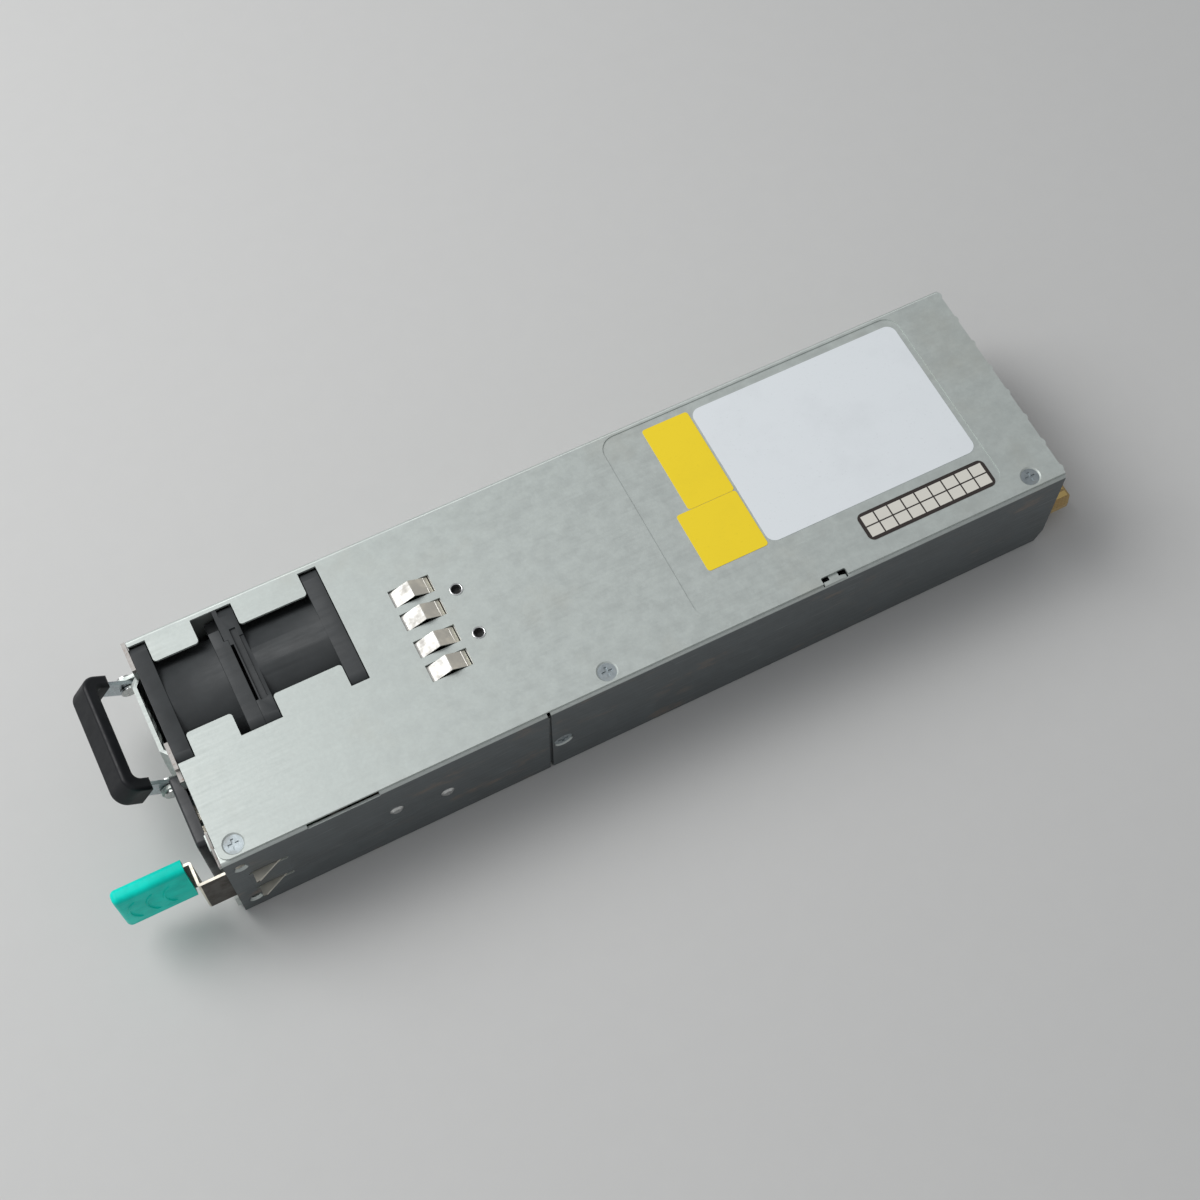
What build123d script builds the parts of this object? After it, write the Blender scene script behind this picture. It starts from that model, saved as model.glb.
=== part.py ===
from build123d import *
import math
import os

# A hot swap server power supply: a folded sheet steel casing with two fans in line behind a drawn
# grille, a mains inlet, a folding carry handle, a sprung release latch and a card edge at the rear.
# Millimetres. X runs from the handle end to the card edge, Y across with the latch on the low side,
# and Z up from the bottom face. The origin is the centre of the casing's bottom face.

# Casing
case_length = 265.0
case_width = 73.5
case_height = 40.0
sheet = 0.8
bend_inside = 0.4
cover_inset = 0.9
cover_wall_lift = 0.6
cover_corner = 3.0
wall_flange = 5.6
far_lip = 18.0
seam_from_front = 95.8
seam_gap = 1.0
lap_length = 10.0
lap_root = 2.5
lap_low = 3.0
lap_below_roof = 4.0
lap_side_gap = 4.0
lap_corner = 2.0
rear_corner_cut = (2.0, 6.4)

# Front panel with its drawn fan grille
panel_sheet = 1.2
panel_gap = 0.2
panel_side_inset = 0.35
panel_foot = 8.0
panel_foot_from_wall = 8.0
panel_foot_from_fan = 1.6
grille_width = 26.5
grille_height = 26.0
grille_corner = 2.7
grille_draw = 2.0
grille_slope = 1.6
grille_foot_corner = 3.5
grille_hole = 3.4
grille_pitch = 4.3
grille_border = 1.6
near_tab_width = 8.6
near_tab_start = 30.95

# Rear panel
vent_hole = 5.0
vent_pitch = 6.2
vent_border = 2.5
rear_panel_upright = 4.0
panel_clearance = 0.5
nub_count = 8
nub_end_margin = 2.15
nub_radius = 1.6
nub_proud = 0.5

# Fans, a matched pair that turn opposite ways
fan_height_gap = 0.2
fan_far_gap = 1.05
fan_corner = 3.5
fan_front_length = 26.2
fan_rear_length = 30.5
fan_flange = 5.0
fan_mid_flange = 4.5
fan_wall = 0.6
fan_rim = 0.8
fan_hole_inset = 3.8
fan_screw_hole = 3.4
fan_slot_clearance = 0.3
fan_slot_inset = 0.4
fan_tab_half = 12.0
fan_tab_corner = 1.0
fan_mid_slot_extra = 3.0
hub_radius = 10.6
hub_wall = 0.9
hub_nose = 1.6
hub_nose_bevel = 1.0
shaft_recess = 0.6
tip_clearance = 0.6
hub_clearance = 0.6
rotor_inset = 1.2
motor_plate = 1.5
motor_strut_width = 1.4
motor_struts = 4
bearing_tube_radius = 3.2
bearing_radius = 2.5
bearing_length = 2.5
fan_shaft_radius = 1.0
running_clearance = 0.05
stator_radius = 9.0
stator_length = 7.0
stator_root = 1.4
stator_arm = 2.6
stator_shoe = 1.3
fan_board = 0.8
fan_board_notch = 2.0
lead_pocket = 6.75
lead_groove = 1.8
front_blades = 7
rear_blades = 5
blade_thickness = 0.9
blade_chord = 13.0
blade_root_angle = 38.0
blade_tip_angle = 56.0

# Mains inlet
inlet_from_wall = 20.6
inlet_above_middle = 0.25
inlet_flange_width = 22.5
inlet_flange_height = 27.5
inlet_flange_depth = 2.9
inlet_body_width = 20.4
inlet_body_height = 26.6
inlet_body_depth = 15.5
inlet_clip = 0.8
inlet_clip_length = 3.0
inlet_clip_half = 4.0
socket_width = 16.2
socket_height = 24.4
socket_corner = 4.6
socket_depth = 16.0
inlet_pin_spread = 7.0
inlet_pin_offset = 4.0
inlet_pin_width = 4.0
inlet_pin_thickness = 2.0
inlet_pin_recess = 2.2
inlet_pin_tail = 6.0

led_radius = 1.5
led_beside_flange = 3.4
led_collar = 0.5
led_collar_length = 1.0
led_body_length = 4.0

# Carry handle
handle_beside_fan = 0.9
handle_pivot_out = 3.6
handle_above_middle = 1.0
handle_tilt = 38.0
strap_sheet = 1.2
strap_half_height = 3.0
strap_half_span = 17.4
strap_bend = 3.0
ear_gap = 0.2
ear_radius = 3.0
grip_bar_centre = 14.5
grip_thickness = 4.0
grip_height = 9.0
grip_arm_start = 8.0
grip_outer_corner = 4.5
grip_inner_corner = 2.0
grip_over_strap = 0.4
grip_edge_round = 1.2
handle_pin_radius = 1.5
handle_pin_head = 2.4
handle_pin_head_height = 0.8

# Release latch
latch_sheet = 0.8
latch_below_middle = 7.0
latch_height = 18.0
latch_gap = 0.05
latch_pivot_from_front = 46.3
latch_split_gap = 0.1
latch_root_end = 68.0
latch_reach = 8.3
latch_jog = 7.0
latch_bend = 0.76
latch_slot_height = 1.5
latch_slot_start = 5.9
latch_slot_end = 15.8
latch_ears_up = (0.4, 12.6)
latch_ear_proud = 3.0
latch_ear_tip = 1.0
latch_ear_clearance = 0.3
latch_window_depth = 5.5
latch_window_margin = 2.0
tab_length = 20.5
tab_thickness = 4.0
tab_below_strip = 1.0
tab_above_strip = 2.0
tab_gap = 1.6
tab_round = 1.3
tab_ridge_count = 3
tab_ridge_pitch = 5.6
tab_ridge_radius = 4.6
tab_ridge_width = 0.8
tab_ridge_height = 0.35
tab_first_ridge = 3.5
tab_ridge_sweep = 0.2
tab_tongue_length = 9.0
wall_hole_radius = 1.5
wall_hole_from_front = 4.05
wall_hole_low = 7.2
wall_hole_below_top = 7.4
latch_rivet_radius = 1.2
latch_rivet_head = 2.1
latch_rivet_crown = 1.26
latch_rivet_head_height = 0.5
latch_rivets_at = ((48.7, 9.7), (64.0, 5.7))
bend_notch_start = 24.3
bend_notch_end = 45.4
bend_notch_depth = 1.2

# Countersunk screws
screw_head_radius = 2.75
screw_sink = 0.4
screw_radius = 1.5
screw_length = 5.5
screw_cross_length = 3.2
screw_cross_width = 0.8
screw_cross_depth = 0.35
screw_lug_half = 4.5
screw_lug_width = 8.6
top_screws_from_front = (4.95, 116.3, 255.1)
top_screw_in = 4.45
side_screw_from_front = 100.3
side_screw_z = 17.05
far_screws_from_front = (64.0, 200.0)
far_screw_z = 13.0

# Grounding leaves under the cover
leaf_start = 71.8
leaf_end = 84.35
leaf_widths = ((14.8, 5.7), (6.65, 5.6), (-2.7, 5.6), (-10.8, 5.55))
leaf_clearance = 0.25
leaf_sheet = 0.35
leaf_rise = 1.9
leaf_plate_far = 19.5
leaf_plate_near = -15.5
leaf_plate_ahead = 4.0
leaf_plate_end = 95.0
leaf_lip = 1.4
leaf_lip_gap = 0.6
leaf_ridge_share = 0.5
leaf_rivets_y = (9.66, -5.52)
leaf_rivet_from_front = 89.6
leaf_rivet_bore = 1.5
leaf_rivet_wall = 0.45
leaf_rivet_flare = 0.12
leaf_rivet_collar = 0.8

# Hook in the near edge of the cover
hook_start = 183.5
hook_end = 191.5
hook_depth = 2.0
hook_tab_width = 3.0
hook_drop = 3.0
hook_corner = 0.6

# Labels in their drawn recess
recess_start = 147.0
recess_end = 248.0
recess_far_margin = 1.75
recess_near_margin = 6.05
recess_depth = 0.3
recess_corner = 5.0
label_sheet = 0.12
label_gap = 0.1
label_split_in = 39.4
rating_label_x = (176.5, 246.2)
rating_label_margins = (19.25, 4.45)
upper_yellow_x = (160.6, 175.8)
lower_yellow_x = (156.3, 175.9)
yellow_far_margin = 4.05
inspection_label_x = (202.6, 245.4)
inspection_label_in = (6.75, 16.15)
rating_label_corner = 3.0
yellow_corner = 1.0
inspection_corner = 2.0

# Boards
board_standoff = 4.2
board_thickness = 2.0
board_front = 62.0
board_wing_front = 24.0
board_wing_beside_inlet = (15.65, 8.35)
board_side_gap = 1.6
board_rear_gap = 2.0
card_edge_width = 46.0
card_edge_near = -32.5
card_edge_reach = 13.8
card_edge_chamfer = 2.1
card_notch = 2.0
card_notch_in = 28.52
finger_tip_gap = 0.6
finger_pitch = 2.54
finger_width = 1.8
finger_sheet = 0.1
finger_length = 8.5
board_hole_gap = 0.2
board_screw_head = 2.7
board_screw_head_height = 2.0
board_screw_bevel = 0.7
board_screw_slot = (3.0, 0.7, 0.8)
standoff_radius = 2.6
post_floor = 0.4
post_inset = 5.5
front_post_from_front = 66.0
middle_post_past_seam = 16.0
rear_post_inset = 16.0
insulator = 0.25
insulator_gap = 1.0
insulator_hole_gap = 0.3

# Places worked out from the sizes above
front_x = -case_length / 2
rear_x = case_length / 2
near_y = -case_width / 2
far_y = case_width / 2
near_in = near_y + sheet
far_in = far_y - sheet
roof = case_height - sheet
panel_back = front_x - panel_gap
panel_front = panel_back - panel_sheet
fan_side = case_height - fan_height_gap
fan_bore = fan_side - 2 * fan_rim
fan_y = far_in - fan_far_gap - fan_side / 2
fan_z = case_height / 2
fan_slot_half = fan_side / 2 - fan_slot_inset
fan_middle = panel_back + fan_front_length
fan_end = fan_middle + fan_rear_length
inlet_y = near_in + inlet_from_wall
inlet_z = case_height / 2 + inlet_above_middle
led_y = inlet_y + inlet_flange_width / 2 - led_beside_flange
led_z = (inlet_z + inlet_flange_height / 2 + roof) / 2
handle_y = fan_y + handle_beside_fan
handle_pivot_z = case_height / 2 + handle_above_middle
latch_z0 = case_height / 2 - latch_below_middle
latch_z1 = latch_z0 + latch_height
latch_ear_heights = [latch_z0 + up for up in latch_ears_up]
ear_slot_x0 = front_x + latch_slot_start
ear_slot_x1 = front_x + latch_slot_end
latch_rivet_spots = [(front_x + distance, latch_z0 + up) for distance, up in latch_rivets_at]
tab_z0 = latch_z0 - tab_below_strip
tab_z1 = latch_z1 + tab_above_strip
wall_hole_heights = (wall_hole_low, case_height - wall_hole_below_top)
recess_near = near_y + recess_near_margin
recess_far = far_y - recess_far_margin
label_split_y = near_y + label_split_in
rating_label_y = (near_y + rating_label_margins[0], far_y - rating_label_margins[1])
yellow_top_y = far_y - yellow_far_margin
inspection_label_y = [near_y + inwards for inwards in inspection_label_in]
board_wing_near = inlet_y - board_wing_beside_inlet[0]
board_wing_far = inlet_y + board_wing_beside_inlet[1]
notch_y = card_edge_near + card_notch_in
board_bottom = sheet + board_standoff
board_top = board_bottom + board_thickness
board_rear = rear_x - board_rear_gap
post_ys = (near_in + post_inset, far_in - post_inset)
front_posts = [(front_x + front_post_from_front, y) for y in post_ys]
middle_post_x = front_x + seam_from_front + middle_post_past_seam
rear_posts = [(x, y) for x in (middle_post_x, rear_x - rear_post_inset) for y in post_ys]


def from_front(distance):
    """X of a point this far behind the casing's front edge."""
    return front_x + distance


def block(x0, x1, y0, y1, z0, z1):
    return Pos((x0 + x1) / 2, (y0 + y1) / 2, (z0 + z1) / 2) * Box(x1 - x0, y1 - y0, z1 - z0)


def rod_x(x0, x1, y, z, radius):
    return Pos((x0 + x1) / 2, y, z) * Rot(0, 90, 0) * Cylinder(radius, x1 - x0)


def rod_y(x, y0, y1, z, radius):
    return Pos(x, (y0 + y1) / 2, z) * Rot(90, 0, 0) * Cylinder(radius, y1 - y0)


def rod_z(x, y, z0, z1, radius):
    return Pos(x, y, (z0 + z1) / 2) * Cylinder(radius, z1 - z0)


def plate_x(sketch, x0, x1):
    """A sketch drawn in Y and Z, made solid from x0 to x1."""
    return extrude(Plane.YZ.offset(x0) * sketch, amount=x1 - x0)


def plate_y(sketch, y0, y1):
    """A sketch drawn in X and Z, made solid from y0 to y1."""
    plane = Plane(origin=(0, y1, 0), x_dir=(1, 0, 0), z_dir=(0, -1, 0))
    return extrude(plane * sketch, amount=y1 - y0)


def plate_z(sketch, z0, z1):
    """A sketch drawn in X and Y, made solid from z0 to z1."""
    return extrude(Plane.XY.offset(z0) * sketch, amount=z1 - z0)


def rectangle(a0, a1, b0, b1):
    return Pos((a0 + a1) / 2, (b0 + b1) / 2) * Rectangle(a1 - a0, b1 - b0)


def rounded(a0, a1, b0, b1, radius):
    return Pos((a0 + a1) / 2, (b0 + b1) / 2) * RectangleRounded(a1 - a0, b1 - b0, radius)


def polygon(points):
    return make_face(Polyline(*points, close=True))


def group(shapes):
    """Separate solids that share one node."""
    return Compound([solid for shape in shapes for solid in shape.solids()])


def hex_field(width, height, pitch, across):
    """Staggered hexagons that fit whole in a rectangle about the origin."""
    row_pitch = pitch * math.sqrt(3) / 2
    rows = int((height - across) / 2 / row_pitch)
    holes = []
    for row in range(-rows, rows + 1):
        shift = pitch / 2 if row % 2 else 0
        columns = int((width - across) / 2 / pitch + 1)
        for column in range(-columns, columns + 1):
            x = column * pitch + shift
            if abs(x) <= (width - across) / 2:
                hole = RegularPolygon(across / math.sqrt(3), 6, rotation=30)
                holes.append(Pos(x, row * row_pitch) * hole)
    return holes


# Screws: one shape, placed with its local Z out of the sheet

top_screw_spots = [
    Location((from_front(d), near_y + top_screw_in, case_height)) for d in top_screws_from_front
]
far_screw_spots = [
    Location((from_front(d), far_y, far_screw_z), (-90, 0, 0)) for d in far_screws_from_front
]
side_screw_spot = Location((from_front(side_screw_from_front), near_y, side_screw_z), (90, 0, 0))
sink_slope_top = screw_head_radius + screw_sink
sink_slope_bottom = sink_slope_top - sheet


def sink_cutter():
    """The dimpled hole in the outer sheet, with its face at local Z 0."""
    return Pos(0, 0, -sheet / 2) * Cone(sink_slope_bottom, sink_slope_top, sheet)


def thread_cutter():
    return Pos(0, 0, -screw_length / 2) * Cylinder(screw_radius, screw_length + 1)


def countersunk_screw():
    head_height = sheet - screw_sink
    head = Pos(0, 0, -screw_sink - head_height / 2) * Cone(sink_slope_bottom, screw_head_radius, head_height)
    shank_length = screw_length - sheet
    shank = Pos(0, 0, -sheet - shank_length / 2) * Cylinder(screw_radius, shank_length)
    cross_z = -screw_sink - screw_cross_depth / 2
    cross = Box(screw_cross_length, screw_cross_width, screw_cross_depth)
    cross += Box(screw_cross_width, screw_cross_length, screw_cross_depth)
    return head + shank - Pos(0, 0, cross_z) * cross


# Casing

def fan_cutout():
    """Stepped opening in X and Y: wide where the square flanges pass, narrow at the round barrels."""
    front_flange_end = panel_back + fan_flange + fan_slot_clearance
    mid_start = fan_middle - fan_mid_flange - fan_mid_slot_extra
    mid_end = fan_middle + fan_mid_flange + fan_slot_clearance
    rear_start = fan_end - fan_flange - fan_slot_clearance
    rear_end = fan_end + fan_slot_clearance
    outline = rectangle(front_x - 1, front_flange_end, fan_y - fan_slot_half, fan_y + fan_slot_half)
    outline += rectangle(mid_start, mid_end, fan_y - fan_slot_half, fan_y + fan_slot_half)
    outline += rectangle(rear_start, rear_end, fan_y - fan_slot_half, fan_y + fan_slot_half)
    outline += rectangle(front_x - 1, rear_end, fan_y - fan_tab_half, fan_y + fan_tab_half)
    tab_corners = [
        v for v in outline.vertices()
        if abs(abs(v.Y - fan_y) - fan_tab_half) < 0.01 and front_x < v.X < rear_end - 0.01
    ]
    return fillet(tab_corners, fan_tab_corner)


def folded_channel(y0, y1, z0, z1):
    """Cross-section of a closed box of folded sheet, to be cut open where the casing is open."""
    outer = rounded(y0, y1, z0, z1, sheet + bend_inside)
    inner = rounded(y0 + sheet, y1 - sheet, z0 + sheet, z1 - sheet, bend_inside)
    return outer - inner


def make_top_cover():
    profile = folded_channel(near_y - 10, far_y, -10, case_height)
    profile -= rectangle(near_y - 11, near_y + cover_inset, -11, case_height + 1)
    profile -= rectangle(near_y - 11, far_y + 1, -11, cover_wall_lift)
    cover = plate_x(profile, front_x, rear_x)
    corner = rectangle(front_x - 1, front_x + cover_corner, near_y, near_y + cover_inset + cover_corner)
    corner -= Pos(front_x + cover_corner, near_y + cover_inset + cover_corner) * Circle(cover_corner)
    cover -= plate_z(corner, roof - 1, case_height + 1)
    cover -= plate_z(fan_cutout(), roof - 1, case_height + 1)
    for y, width in leaf_widths:
        window = rectangle(from_front(leaf_start), from_front(leaf_end), y - width / 2, y + width / 2)
        cover -= plate_z(window, roof - 1, case_height + 1)
    for y in leaf_rivets_y:
        radius = leaf_rivet_bore + leaf_rivet_wall
        cover -= rod_z(from_front(leaf_rivet_from_front), y, roof - 1, case_height + 1, radius)
    hook = rounded(from_front(hook_start), from_front(hook_end), near_y - 1,
                   near_y + cover_inset + hook_depth, hook_corner)
    cover -= plate_z(hook, roof - 1, case_height + 1)
    recess = rounded(from_front(recess_start), from_front(recess_end), recess_near, recess_far, recess_corner)
    cover -= plate_z(recess, case_height - recess_depth, case_height + 1)
    cover += plate_z(recess, roof - recess_depth, roof)
    for spot in top_screw_spots + far_screw_spots:
        cover -= spot * sink_cutter()
    first_nub = near_y + cover_inset + nub_end_margin
    nub_pitch = (far_y - nub_end_margin - first_nub) / (nub_count - 1)
    for index in range(nub_count):
        nub = Pos(rear_x + nub_proud - nub_radius, first_nub + index * nub_pitch) * Circle(nub_radius)
        nub &= rectangle(rear_x - 0.2, rear_x + 2, near_y + cover_inset, far_y)
        cover += plate_z(nub, roof, case_height)
    return cover


def base_channel(x0, x1):
    """Bottom, near wall with its top flange, and a low far lip, between two places along the casing."""
    profile = folded_channel(near_y, far_in, 0, roof)
    profile -= rectangle(near_y + wall_flange, far_y + 1, far_lip, case_height + 1)
    return plate_x(profile, x0, x1)


def screw_lugs(x0, x1):
    """Wider stretches of the top flange that take the cover's screws."""
    lugs = []
    for distance in top_screws_from_front:
        start = max(from_front(distance) - screw_lug_half, x0)
        end = min(from_front(distance) + screw_lug_half, x1)
        if start < end and x0 <= from_front(distance) <= x1:
            lug = rectangle(start, end, near_y + wall_flange / 2, near_y + screw_lug_width)
            lugs.append(plate_z(lug, roof - sheet, roof))
    return lugs


def slot_with_reliefs(x0, x1, z, height):
    """A lance slot in X and Z with a small round relief at each end."""
    slot = rectangle(x0, x1, z - height / 2, z + height / 2)
    relief = height * 0.55
    return slot + Pos(x0, z) * Circle(relief) + Pos(x1, z) * Circle(relief)


def make_base_front():
    seam = from_front(seam_from_front)
    base = base_channel(panel_back, seam)
    for lug in screw_lugs(panel_back, seam):
        base += lug
    lap_end = seam + lap_length
    wall_lap = rectangle(seam - lap_root, lap_end, lap_low, roof - lap_below_roof)
    base += plate_y(wall_lap, near_in, near_in + sheet)
    bottom_lap = rounded(seam - lap_root, lap_end, near_in + lap_side_gap, far_in - lap_side_gap, lap_corner)
    base += plate_z(bottom_lap, sheet, 2 * sheet)
    base -= plate_z(fan_cutout(), -1, sheet + 0.5)
    for z in wall_hole_heights:
        base -= rod_y(from_front(wall_hole_from_front), near_y - 1, near_in + 1, z, wall_hole_radius)
    for z in latch_ear_heights:
        slot = slot_with_reliefs(ear_slot_x0, ear_slot_x1, z, latch_slot_height)
        base -= plate_y(slot, near_y - 1, near_in + 1)
    for x, z in latch_rivet_spots:
        base -= rod_y(x, near_y - 1, near_in + 1, z, latch_rivet_radius)
    notch_x0 = from_front(bend_notch_start)
    notch_x1 = from_front(bend_notch_end)
    base -= block(notch_x0, notch_x1, near_y - 1, near_y + wall_flange, roof - bend_notch_depth, roof + 1)
    base -= top_screw_spots[0] * thread_cutter()
    base -= side_screw_spot * thread_cutter()
    base -= far_screw_spots[0] * thread_cutter()
    return add_posts(base, front_posts)


def make_base_rear():
    start = from_front(seam_from_front + seam_gap)
    base = base_channel(start, rear_x)
    for lug in screw_lugs(start, rear_x):
        base += lug
    cut_x, cut_z = rear_corner_cut
    cut = polygon([
        (rear_x - cut_x, -1), (rear_x + 1, -1), (rear_x + 1, cut_z),
        (rear_x, cut_z), (rear_x - cut_x, sheet + bend_inside),
    ])
    base -= plate_y(cut, near_y - 1, near_in + 1)
    hook_x0 = from_front(hook_start)
    hook_x1 = from_front(hook_end)
    middle = (hook_x0 + hook_x1) / 2
    for x0, x1 in ((hook_x0, middle - hook_tab_width / 2), (middle + hook_tab_width / 2, hook_x1)):
        base -= block(x0, x1, near_y + sheet / 2, near_y + wall_flange, roof - hook_drop, roof + 1)
    base -= side_screw_spot * sink_cutter()
    base -= top_screw_spots[1] * thread_cutter()
    base -= top_screw_spots[2] * thread_cutter()
    base -= far_screw_spots[1] * thread_cutter()
    return add_posts(base, rear_posts)


def add_posts(base, spots):
    """Pressed posts that carry the main board, with blind threads."""
    for spot in spots:
        base += rod_z(*spot, sheet, board_bottom, standoff_radius)
        base -= rod_z(*spot, sheet + post_floor, board_bottom + 1, screw_radius)
    return base


# Front panel

def octagon(width, height, corner):
    half_w = width / 2
    half_h = height / 2
    return polygon([
        (-half_w, -half_h + corner), (-half_w + corner, -half_h),
        (half_w - corner, -half_h), (half_w, -half_h + corner),
        (half_w, half_h - corner), (half_w - corner, half_h),
        (-half_w + corner, half_h), (-half_w, half_h - corner),
    ])


def grille_frustum(front, back):
    """The drawn dish as a solid, from its flat front face back to the panel."""
    outer = octagon(grille_width + 2 * grille_slope, grille_height + 2 * grille_slope, grille_foot_corner)
    inner = octagon(grille_width, grille_height, grille_corner)
    place = Pos(fan_y, fan_z)
    return loft([Plane.YZ.offset(front) * place * inner, Plane.YZ.offset(back) * place * outer])


def make_front_panel():
    plate = rectangle(near_y + panel_side_inset, far_y - panel_side_inset, cover_wall_lift, case_height)
    tab_far = near_y + near_tab_start
    plate -= rectangle(near_y, tab_far, case_height - panel_gap - sheet, case_height + 1)
    dish_top = fan_z + grille_height / 2
    plate -= rectangle(tab_far + near_tab_width, fan_y + fan_tab_half, dish_top, case_height + 1)
    slot_far = near_in + latch_window_depth
    plate -= rectangle(near_y, slot_far, latch_z0 - latch_window_margin, latch_z1 + latch_window_margin)
    inlet_half = inlet_body_width / 2
    plate -= rectangle(inlet_y - inlet_half, inlet_y + inlet_half,
                       inlet_z - inlet_body_height / 2, inlet_z + inlet_body_height / 2)
    panel = plate_x(plate, panel_front, panel_back)
    dish_front = panel_front - grille_draw
    outer = grille_frustum(dish_front, panel_front)
    opening = octagon(grille_width + 2 * grille_slope, grille_height + 2 * grille_slope, grille_foot_corner)
    panel -= plate_x(Pos(fan_y, fan_z) * opening, panel_front - 1, panel_back + 1)
    shell = outer + plate_x(Pos(fan_y, fan_z) * opening, panel_front, panel_back)
    shell -= Pos(panel_sheet, 0, 0) * outer
    shell -= block(dish_front - 1, panel_back + 1, near_y, far_y, dish_top, case_height + 5)
    holes = hex_field(grille_width - 2 * grille_border, grille_height - 2 * grille_border,
                      grille_pitch, grille_hole)
    for hole in holes:
        shell -= plate_x(Pos(fan_y, fan_z) * hole, dish_front - 1, dish_front + panel_sheet + 0.6)
    panel += shell
    panel += handle_ears()
    foot_y0 = near_in + panel_foot_from_wall
    foot_y1 = fan_y - fan_side / 2 - panel_foot_from_fan
    panel += block(panel_front, panel_back + panel_foot, foot_y0, foot_y1, sheet, 2 * sheet)
    panel -= rod_x(panel_front - 1, panel_back + 1, led_y, led_z, led_radius)
    return panel


def make_status_led():
    dome = Pos(panel_front, led_y, led_z) * Sphere(led_radius)
    body = rod_x(panel_front, panel_back + led_body_length, led_y, led_z, led_radius)
    collar = rod_x(panel_back, panel_back + led_collar_length, led_y, led_z, led_radius + led_collar)
    return dome + body + collar


pivot_x = panel_front - handle_pivot_out


def handle_ears():
    """Two ears bent forward out of the panel, outside the handle's legs."""
    ears = Part()
    inner = strap_half_span + ear_gap
    for side in (-1, 1):
        y0, y1 = sorted((handle_y + side * inner, handle_y + side * (inner + panel_sheet)))
        shape = rectangle(pivot_x, panel_front + panel_sheet / 2,
                          handle_pivot_z - ear_radius, handle_pivot_z + ear_radius)
        shape += Pos(pivot_x, handle_pivot_z) * Circle(ear_radius)
        shape -= Pos(pivot_x, handle_pivot_z) * Circle(handle_pin_radius)
        ears += plate_y(shape, y0, y1)
    return ears


def make_handle_pins():
    """Two rivets that carry the handle's legs in the panel's ears."""
    pins = []
    ear_outer = strap_half_span + ear_gap + panel_sheet
    leg_inner = strap_half_span - strap_sheet - ear_gap
    for side in (-1, 1):
        y0, y1 = sorted((handle_y + side * ear_outer, handle_y + side * leg_inner))
        pin = rod_y(pivot_x, y0, y1, handle_pivot_z, handle_pin_radius)
        for a, b in ((ear_outer, ear_outer + handle_pin_head_height),
                     (leg_inner - handle_pin_head_height, leg_inner)):
            head0, head1 = sorted((handle_y + side * a, handle_y + side * b))
            pin += rod_y(pivot_x, head0, head1, handle_pivot_z, handle_pin_head)
        pins.append(pin)
    return group(pins)


def tilt(shape):
    """Turns a handle piece drawn lying flat to the angle it stands at."""
    return Pos(pivot_x, handle_y, handle_pivot_z) * Rot(0, handle_tilt, 0) * shape


def flat_strap():
    """The handle's steel strap, lying flat with its pivot at the origin."""
    bar_outer = grip_bar_centre + strap_sheet / 2
    half_in = strap_half_span - strap_sheet
    outline = rounded(-bar_outer, bar_outer, -strap_half_span, strap_half_span, strap_bend)
    outline -= rounded(-bar_outer + strap_sheet, bar_outer - strap_sheet,
                       -half_in, half_in, strap_bend - strap_sheet)
    outline &= rectangle(-bar_outer - 1, strap_half_height, -strap_half_span - 1, strap_half_span + 1)
    strap = plate_z(outline, -strap_half_height, strap_half_height)
    side_view = rectangle(-bar_outer - 1, 0, -strap_half_height, strap_half_height)
    side_view += Circle(strap_half_height)
    return strap & plate_y(side_view, -strap_half_span - 1, strap_half_span + 1)


def make_handle_strap():
    strap = flat_strap()
    hole = handle_pin_radius + running_clearance
    return tilt(strap - rod_y(0, -strap_half_span - 1, strap_half_span + 1, 0, hole))


def make_handle_grip():
    """Moulded grip around the strap's bar and the outer half of its legs."""
    bar_outer = grip_bar_centre + grip_thickness / 2
    bar_inner = grip_bar_centre - grip_thickness / 2
    half = strap_half_span + (grip_thickness - strap_sheet) / 2 + grip_over_strap
    outline = rounded(-bar_outer, bar_outer, -half, half, grip_outer_corner)
    outline -= rounded(-bar_inner, bar_inner, -half + grip_thickness, half - grip_thickness,
                       grip_inner_corner)
    outline &= rectangle(-bar_outer - 1, -grip_arm_start, -half - 1, half + 1)
    grip = plate_z(outline, -grip_height / 2, grip_height / 2)
    rims = grip.faces().sort_by(Axis.Z)[0].edges() + grip.faces().sort_by(Axis.Z)[-1].edges()
    grip = fillet(rims, grip_edge_round)
    return tilt(grip - flat_strap())


# Latch

latch_pivot_x = from_front(latch_pivot_from_front)
strip_tip = front_x - latch_reach
strip_y0 = near_in + latch_gap
strip_y1 = strip_y0 + latch_sheet


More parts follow.
